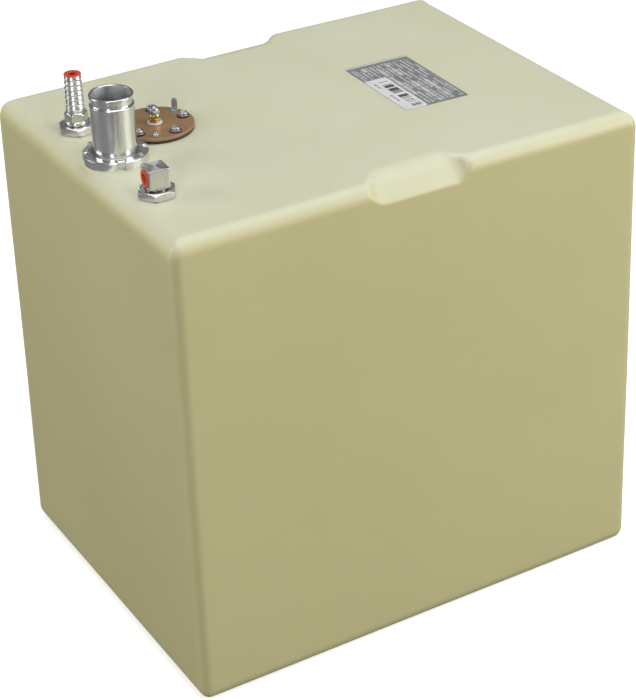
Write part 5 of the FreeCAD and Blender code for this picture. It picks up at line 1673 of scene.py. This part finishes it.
@dataclass
class SenderHead:
    """The level sender's phenolic plate, its five screws and its two terminals."""

    plate: float = 34.8
    screw_head: float = 3.9
    screw_height: float = 2.7
    rubber_washer: float = 5.6
    steel_washer: float = 5.0
    screws: int = 5
    screw_circle: float = 27.0
    screw_turn: float = -3.0
    shank: float = 1.9
    shank_length: float = 16.0
    washer_hole: float = 2.1
    washer_thickness: float = 0.68
    grommet_height: float = 1.38
    stud_hole: float = 5.0
    seal_hole: float = 20.0
    tab_turn: float = 31.0
    tab_reach: float = 4.0

    def __post_init__(self) -> None:
        """Read the plate's and the terminals' places from the frame."""
        self.disc = Spot.of("sender_plate")
        self.steel = Spot.of("sender_steel_washers")
        self.post = Spot.of("terminal_stud")

    def around(self, radius: float, turn: float) -> Spot:
        """Return a spot on the plate at a radius and a direction.

        Args:
            radius: how far from the plate's middle.
            turn: the direction, in degrees from +X.

        Returns:
            The spot, on the plate's top face.
        """
        angle = math.radians(turn)
        return Spot(self.disc.x + radius * math.cos(angle), self.disc.y + radius * math.sin(angle),
                    self.disc.high, self.disc.high)

    def build_plate(self) -> None:
        """Put the round plate and what clamps its rim in the scene."""
        bore = self.stud_hole
        thick = self.disc.high - self.disc.low
        plate = turned_mesh("sender_disc", [
            (bore, 0.0, 0.0), (self.plate - 0.3, 0.0, 0.2), (self.plate, 0.4, 0.3),
            (self.plate, thick - 0.45, 0.35), (self.plate - 0.45, thick, 0.35),
            (bore, thick, 0.2)], 160, 3)
        add_piece("sender_disc", plate, PHENOLIC, TANK, ["sender_plate"],
                  standing(self.disc.at(self.disc.low)))
        gasket = Spot.of("sender_gasket")
        deep = gasket.high - gasket.low
        ring = turned_mesh("sender_seal", [
            (self.seal_hole, 0.0, 0.2), (34.1, 0.0, 0.3), (34.3, deep * 0.5, 0.6),
            (34.1, deep, 0.3), (self.seal_hole, deep, 0.2)], 128, 3)
        add_piece("sender_seal", ring, RUBBER, TANK, ["sender_gasket"],
                  standing(gasket.at(gasket.low)))

    def build_screws(self) -> None:
        """Put the five rim screws on their steel and rubber washers."""
        for number in range(self.screws):
            spot = self.around(self.screw_circle, self.screw_turn + 360 / self.screws * number)
            seat = self.steel.high
            add_piece(f"rim_screw_{number + 1}",
                      screw_mesh(f"rim_screw_{number + 1}", self.shank, self.shank_length,
                                 self.screw_head, self.screw_height, 0.58), ZINC, TANK,
                      ["sender_screws"], standing(spot.at(seat), 17 + 61 * number))
            washer = turned_mesh(f"rim_washer_{number + 1}", [
                (self.washer_hole, 0.0, 0.1), (self.steel_washer, 0.0, 0.2),
                (self.steel_washer, self.washer_thickness, 0.25),
                (self.washer_hole, self.washer_thickness, 0.1)], 48, 3)
            add_piece(f"rim_washer_{number + 1}", washer, ZINC, TANK, ["sender_steel_washers"],
                      standing(spot.at(self.steel.low)))
            rubber = turned_mesh(f"rim_grommet_{number + 1}", [
                (self.washer_hole, 0.0, 0.1), (self.rubber_washer - 0.2, 0.0, 0.3),
                (self.rubber_washer, 0.6, 0.5),
                (self.rubber_washer - 0.25, self.grommet_height, 0.4),
                (self.washer_hole, self.grommet_height, 0.1)], 48, 3)
            add_piece(f"rim_grommet_{number + 1}", rubber, RUBBER, TANK,
                      ["sender_rubber_washers"], standing(spot.at(self.disc.high)))
        small = Spot.of("bracket_screw")
        add_piece("small_screw", screw_mesh("small_screw", 1.5, 3.5, 2.74, 2.2, 0.6), ZINC, TANK,
                  ["bracket_screw"], standing(small.at(self.disc.high + 1.35), 20))
        collar = turned_mesh("small_screw_collar", [
            (1.6, 0.0, 0.1), (2.7, 0.0, 0.2), (2.7, 1.33, 0.2), (1.6, 1.33, 0.1)], 40, 3)
        add_piece("small_screw_collar", collar, ZINC, TANK, ["bracket_screw"],
                  standing(small.at(self.disc.high)))

    def build_tab(self) -> None:
        """Put the ground blade, its eyelet and its rivet in the scene."""
        eye = Spot.of("ground_rivet")
        radial = math.radians(self.tab_turn)
        out = Vector((math.cos(radial), math.sin(radial), 0))
        add_piece("ground_blade", blade_mesh("ground_blade", 3.55, self.tab_reach, 5.8, 0.8,
                                             10.45), TINNED, TANK, ["ground_tab"],
                  standing(eye.at(self.disc.high), math.degrees(math.atan2(out.y, out.x))))
        rivet = turned_mesh("ground_rivet_head", [
            (0.0, -4.0, 0.0), (1.25, -4.0, 0.2), (1.25, 0.82, 0.0), (2.28, 0.82, 0.15),
            (2.1, 1.1, 0.3), (1.1, 1.2, 0.2), (0.8, 0.75, 0.2), (0.0, 0.7, 0.0)], 48, 3)
        add_piece("ground_rivet_head", rivet, ZINC, TANK, ["ground_rivet"],
                  standing(eye.at(self.disc.high)))

    def build_terminal(self) -> None:
        """Stack the nylon bush, brass nut, collar and domed cap nut on the stud."""
        bush, nut = Spot.of("terminal_insulator"), Spot.of("terminal_clamp_nut")
        collar, cap = Spot.of("terminal_collar"), Spot.of("terminal_cap_nut")
        washer = turned_mesh("terminal_bush", [
            (2.6, 0.0, 0.1), (4.85, 0.0, 0.2), (4.85, 3.6, 0.0), (6.68, 3.6, 0.25),
            (6.68, 4.72, 0.45), (2.6, 4.78, 0.2)], 64, 3)
        add_piece("terminal_bush", washer, NYLON, TANK, ["terminal_insulator"],
                  standing(bush.at(bush.low)))
        brass = hexagon_mesh("terminal_nut", 4.55, nut.high - nut.low, 2.55, 0.25, (0.98, 0.98),
                             (0.6, 0.6), 0.2)
        add_piece("terminal_nut", brass, BRASS, TANK, ["terminal_clamp_nut"],
                  standing(nut.at(nut.low), 15))
        ring = turned_mesh("terminal_ring", [
            (2.55, 0.0, 0.1), (4.6, 0.0, 0.3), (4.85, 0.9, 0.4), (4.85, 2.5, 0.4),
            (4.45, collar.high - collar.low, 0.35), (2.55, collar.high - collar.low, 0.1)], 56, 3)
        add_piece("terminal_ring", ring, BRASS, TANK, ["terminal_collar"],
                  standing(collar.at(collar.low)))
        hexagon = hexagon_mesh("cap_nut_hexagon", 4.95, 3.8, 2.55, 0.3, (0.96, 0.98), (0.6, 0.6),
                               0.25)
        add_piece("cap_nut_hexagon", hexagon, ZINC, TANK, ["terminal_cap_nut"],
                  standing(cap.at(cap.low), 8))
        rise = cap.high - cap.low - 3.8
        dome = [(4.42 * math.cos(step * math.pi / 16), 3.8 + rise * math.sin(step * math.pi / 16),
                 0.0) for step in range(9)]
        cover = turned_mesh("cap_nut_dome", [(2.5, 3.3, 0.0), (4.42, 3.3, 0.0)] + dome
                            + [(0.0, 6.0, 0.0), (2.5, 5.2, 0.0)], 56)
        add_piece("cap_nut_dome", cover, ZINC, TANK, ["terminal_cap_nut"],
                  standing(cap.at(cap.low)))
        dress_node("terminal_stud", BRASS)

    def build(self) -> None:
        """Build the whole head."""
        self.build_plate()
        self.build_screws()
        self.build_tab()
        self.build_terminal()


def blade_mesh(name: str, eye: float, reach: float, width: float, thickness: float,
               height: float) -> bpy.types.Mesh:
    """Make a folded push-on blade: a flat eyelet whose far side turns up into the blade.

    Args:
        name: the mesh's name.
        eye: the eyelet's radius.
        reach: how far along +X the blade's outer face stands from the eyelet's middle.
        width: the blade's width.
        thickness: the sheet's thickness.
        height: the blade's full height.

    Returns:
        The mesh, lying on height 0 with the eyelet's middle on the axis.
    """
    bend = thickness * 1.6
    run = [(-eye, 0.0)]
    run += [(-eye * math.cos(step * math.pi / 16), 0.0) for step in range(1, 9)]
    run += [(reach - bend, 0.0)]
    run += [(reach - bend + bend * math.sin(step * math.pi / 12),
             bend - bend * math.cos(step * math.pi / 12)) for step in range(1, 7)]
    rises = [bend + (height - bend) * share for share in
             (0.15, 0.3, 0.45, 0.6, 0.7, 0.78, 0.85, 0.91, 0.96, 0.99, 1.0)]
    run += [(reach, rise) for rise in rises]
    body = bmesh.new()
    rows = []
    for order, (across, rise) in enumerate(run):
        half = width / 2
        if across < 0:
            half = math.sqrt(max(eye ** 2 - across ** 2, 0.15))
        elif rise < 0.01:
            half = eye + (width / 2 - eye) * across / (reach - bend)
        over = rise - (height - half)
        if over > 0:
            half = math.sqrt(max(half ** 2 - over ** 2, 0.3))
        ahead = run[min(order + 1, len(run) - 1)]
        behind = run[max(order - 1, 0)]
        slope = math.atan2(ahead[1] - behind[1], ahead[0] - behind[0])
        inward = (-math.sin(slope) * thickness, math.cos(slope) * thickness)
        row = []
        for dx, dz in ((0.0, 0.0), inward):
            row.append([body.verts.new(((across + dx) * MM, side * half * MM, (rise + dz) * MM))
                        for side in (-1, -0.5, 0, 0.5, 1)])
        rows.append(row)
    for first, second in zip(rows, rows[1:]):
        for layer in (0, 1):
            for k in range(4):
                body.faces.new([first[layer][k], first[layer][k + 1], second[layer][k + 1],
                                second[layer][k]])
        for k in (0, 4):
            body.faces.new([first[0][k], second[0][k], second[1][k], first[1][k]])
    for row in (rows[0], rows[-1]):
        for k in range(4):
            body.faces.new([row[0][k], row[0][k + 1], row[1][k + 1], row[1][k]])
    bmesh.ops.recalc_face_normals(body, faces=body.faces)
    sharp = [edge for edge in body.edges if edge.calc_face_angle(0) > 0.9]
    bmesh.ops.bevel(body, geom=sharp, offset=0.12 * MM, segments=2, affect="EDGES",
                    clamp_overlap=True)
    return finished_mesh(name, body)


# ------------------------------------------------------------------ labels

@dataclass
class Labels:
    """The grey rating label and the white sticker laid on its corner."""

    turn: float = -1.0
    film: float = 0.22
    paper: float = 0.14
    step: float = 1.4
    label_size: tuple[float, float] = (65.5, 110.0)
    label_corner: float = 2.5
    label_lift: float = 0.03
    sticker_size: tuple[float, float] = (22.5, 74.0)
    sticker_corner: float = 2.2
    sticker_gap: float = 0.02

    def draped(self, name: str, spot: Spot, across: float, along: float, thickness: float,
               lift: float, tank: MouldedTank, corner: float) -> bpy.types.Mesh:
        """Lay a thin rounded sheet over the crown of the tank's top.

        Args:
            name: the mesh's name.
            spot: the sheet's middle.
            across: its size along its own X.
            along: its size along its own Y.
            thickness: its thickness.
            lift: how far its underside clears the plastic.
            tank: the tank that it lies on.
            corner: the radius of its corners.

        Returns:
            The mesh, about the sheet's middle at the height of the tank's plain top.
        """
        body = bmesh.new()
        half_x, half_y = across / 2, along / 2
        ticks_x = grid_ticks(half_x, corner, self.step * 3)
        ticks_y = grid_ticks(half_y, corner, self.step * 3)
        turn = Matrix.Rotation(math.radians(self.turn), 2)
        layers = []
        for height in (0.0, thickness):
            grid = []
            for x in ticks_x:
                row = []
                for y in ticks_y:
                    u, v = round_corner(x, y, half_x, half_y, corner)
                    over = turn @ Vector((u, v))
                    level = tank.top_height(np.float64(spot.x + over.x),
                                            np.float64(spot.y + over.y)) - tank.height
                    row.append(body.verts.new((u * MM, v * MM,
                                               (float(level) + lift + height) * MM)))
                grid.append(row)
            layers.append(grid)
        wide, long = len(ticks_x) - 1, len(ticks_y) - 1
        for grid in layers:
            for i in range(wide):
                for j in range(long):
                    body.faces.new([grid[i][j], grid[i + 1][j], grid[i + 1][j + 1],
                                    grid[i][j + 1]])
        rim = ([(i, 0) for i in range(wide)] + [(wide, j) for j in range(long)]
               + [(i, long) for i in range(wide, 0, -1)] + [(0, j) for j in range(long, 0, -1)])
        for (i, j), (k, m) in zip(rim, rim[1:] + rim[:1]):
            body.faces.new([layers[0][i][j], layers[0][k][m], layers[1][k][m], layers[1][i][j]])
        bmesh.ops.recalc_face_normals(body, faces=body.faces)
        return finished_mesh(name, body)

    def build(self, tank: MouldedTank) -> None:
        """Lay the label on the tank and the sticker on the label.

        Args:
            tank: the tank that the labels lie on.
        """
        label, sticker = Spot.of("rating_label"), Spot.of("barcode_sticker")
        film = self.draped("rating_label_film", label, *self.label_size, self.film,
                           self.label_lift, tank, self.label_corner)
        add_piece("rating_label_film", film, LABEL_FILM, TANK, ["rating_label"],
                  standing(label.at(tank.height), self.turn))
        lift = self.label_lift + self.film + self.sticker_gap
        paper = self.draped("barcode_paper", sticker, *self.sticker_size, self.paper, lift, tank,
                            self.sticker_corner)
        add_piece("barcode_paper", paper, STICKER_PAPER, TANK, ["barcode_sticker"],
                  standing(sticker.at(tank.height), self.turn))


def grid_ticks(half: float, corner: float, wide: float) -> list[float]:
    """Return grid places across a sheet, crowded at its rounded corners.

    Args:
        half: half the sheet's size.
        corner: the radius of its corners.
        wide: the widest spacing between them.

    Returns:
        The places, from one edge to the other.
    """
    near = [-half + corner * (1 - math.cos(step * math.pi / 12)) for step in range(7)]
    count = max(1, int((2 * half - 2 * corner) / wide))
    middle = [-half + corner + (2 * half - 2 * corner) * step / count for step in range(1, count)]
    return near + middle + [-place for place in reversed(near)]


def round_corner(x: float, y: float, half_x: float, half_y: float,
                 corner: float) -> tuple[float, float]:
    """Pull a point of a square-cornered grid in to the sheet's rounded corner.

    Args:
        x: the point's place across the sheet.
        y: its place along the sheet.
        half_x: half the sheet's width.
        half_y: half its length.
        corner: the radius of its corners.

    Returns:
        The pulled-in point.
    """
    past_x, past_y = abs(x) - (half_x - corner), abs(y) - (half_y - corner)
    if past_x <= 0 or past_y <= 0:
        return x, y
    reach = math.hypot(past_x, past_y)
    scale = max(past_x, past_y) / reach
    return (math.copysign(half_x - corner + past_x * scale, x),
            math.copysign(half_y - corner + past_y * scale, y))


# ------------------------------------------------------------------ inside

@dataclass
class Mechanism:
    """The pickup tube, the sender's resistor housing, and the float on its swinging arm."""

    finishes: dict[str, Finish] = field(default_factory=lambda: {
        "pickup_tube": TURNED_ALUMINIUM, "pickup_strainer": NYLON, "sender_bracket": ZINC,
        "sender_thread_inserts": BRASS, "terminal_lower_insulator": NYLON,
        "sender_housing": BLACK_PLASTIC, "housing_cover": BLACK_PLASTIC,
        "housing_rivets": ZINC, "resistor_card": CARD, "wiper": BRASS, "signal_lead": LEAD,
        "float_arm": ZINC, "float": FLOAT_FOAM, "float_clips": ZINC})

    def build(self) -> None:
        """Dress every CAD node of the mechanism."""
        for node, finish in self.finishes.items():
            dress_node(node, finish)


# ------------------------------------------------------------------ studio

@dataclass
class Studio:
    """A plain pale floor, soft box lights, and the camera."""

    floor_half: float = 6.0
    world: float = 0.16
    camera_place: tuple = (-0.8658, -1.5213, 1.2280)
    camera_right: tuple = (0.851, -0.5248, -0.0194)
    camera_up: tuple = (0.2796, 0.4215, 0.8627)
    lens: float = 109.2
    shift: float = -0.068

    def build_floor(self) -> None:
        """Lay the floor, with a fine grid so that it has a real mesh of its own."""
        body = bmesh.new()
        bmesh.ops.create_grid(body, x_segments=24, y_segments=24, size=self.floor_half)
        mesh = bpy.data.meshes.new("studio_floor")
        body.to_mesh(mesh)
        body.free()
        floor = bpy.data.objects.new("studio_floor", mesh)
        bpy.context.scene.collection.objects.link(floor)
        mesh.materials.append(FLOOR_PAPER.material())

    def light(self, name: str, place: tuple, aim: tuple, size: tuple, watts: float) -> None:
        """Hang one rectangular soft box, aimed at a point.

        Args:
            name: the light's name.
            place: where it hangs, in metres.
            aim: the point that it faces.
            size: its width and height, in metres.
            watts: its power.
        """
        lamp = bpy.data.lights.new(name, "AREA")
        lamp.shape = "RECTANGLE"
        lamp.size, lamp.size_y = size
        lamp.energy = watts
        holder = bpy.data.objects.new(name, lamp)
        bpy.context.scene.collection.objects.link(holder)
        holder.location = place
        holder.rotation_euler = (Vector(aim) - Vector(place)).to_track_quat("-Z", "Y").to_euler()

    def build_world(self) -> None:
        """Light the room evenly and keep colours as they are."""
        world = bpy.data.worlds.new("studio_room")
        world.use_nodes = True
        wiring = Wiring(world.node_tree)
        glow = wiring.add("Background", {"Color": (1.0, 1.0, 1.0, 1.0), "Strength": self.world})
        out = wiring.add("OutputWorld")
        wiring.feed(out.inputs["Surface"], glow.outputs["Background"])
        scene = bpy.context.scene
        scene.world = world
        scene.view_settings.view_transform = "Standard"
        scene.view_settings.look = "None"

    def build_camera(self) -> None:
        """Place the camera and frame the tank."""
        camera = bpy.data.cameras.new("studio_camera")
        camera.lens = self.lens
        camera.sensor_width = 36.0
        camera.shift_x = self.shift
        camera.clip_start = 0.05
        holder = bpy.data.objects.new("studio_camera", camera)
        bpy.context.scene.collection.objects.link(holder)
        right, up = Vector(self.camera_right).normalized(), Vector(self.camera_up)
        back = right.cross(up).normalized()
        up = back.cross(right).normalized()
        turn = Matrix((right, up, back)).transposed().to_4x4()
        holder.matrix_world = Matrix.Translation(self.camera_place) @ turn
        bpy.context.scene.camera = holder

    def build(self) -> None:
        """Set the whole studio up."""
        self.build_floor()
        self.build_world()
        self.build_camera()
        self.light("top_box", (0.15, 0.0, 2.4), (0.05, 0, 0.4), (2.2, 2.0), 24)
        self.light("right_box", (1.95, -1.75, 1.2), (0, 0, 0.25), (1.7, 1.6), 55)
        self.light("left_box", (-2.1, 1.1, 1.1), (0, 0, 0.25), (1.3, 1.4), 21)
        self.light("corner_strip", (-2.0, -1.9, 1.3), (0, 0, 0.2), (0.5, 1.6), 25)


# ------------------------------------------------------------------ the whole scene


def main() -> None:
    """Build the studio and every sub-assembly in order."""
    logging.basicConfig(level=logging.INFO, format="%(message)s")
    Studio().build()
    tank = MouldedTank()
    tank.build()
    FillerNeck().build()
    HexAdapter("vent_hexagon", "vent_hex_adapter", "vent_seal", "vent_insert", 11.0).build()
    VentBarb().build()
    HexAdapter("outlet_hexagon", "outlet_hex_adapter", "outlet_seal", "outlet_insert",
               1.5).build()
    OutletElbow().build()
    SenderHead().build()
    Labels().build(tank)
    Mechanism().build()


if __name__ == "__main__":
    main()
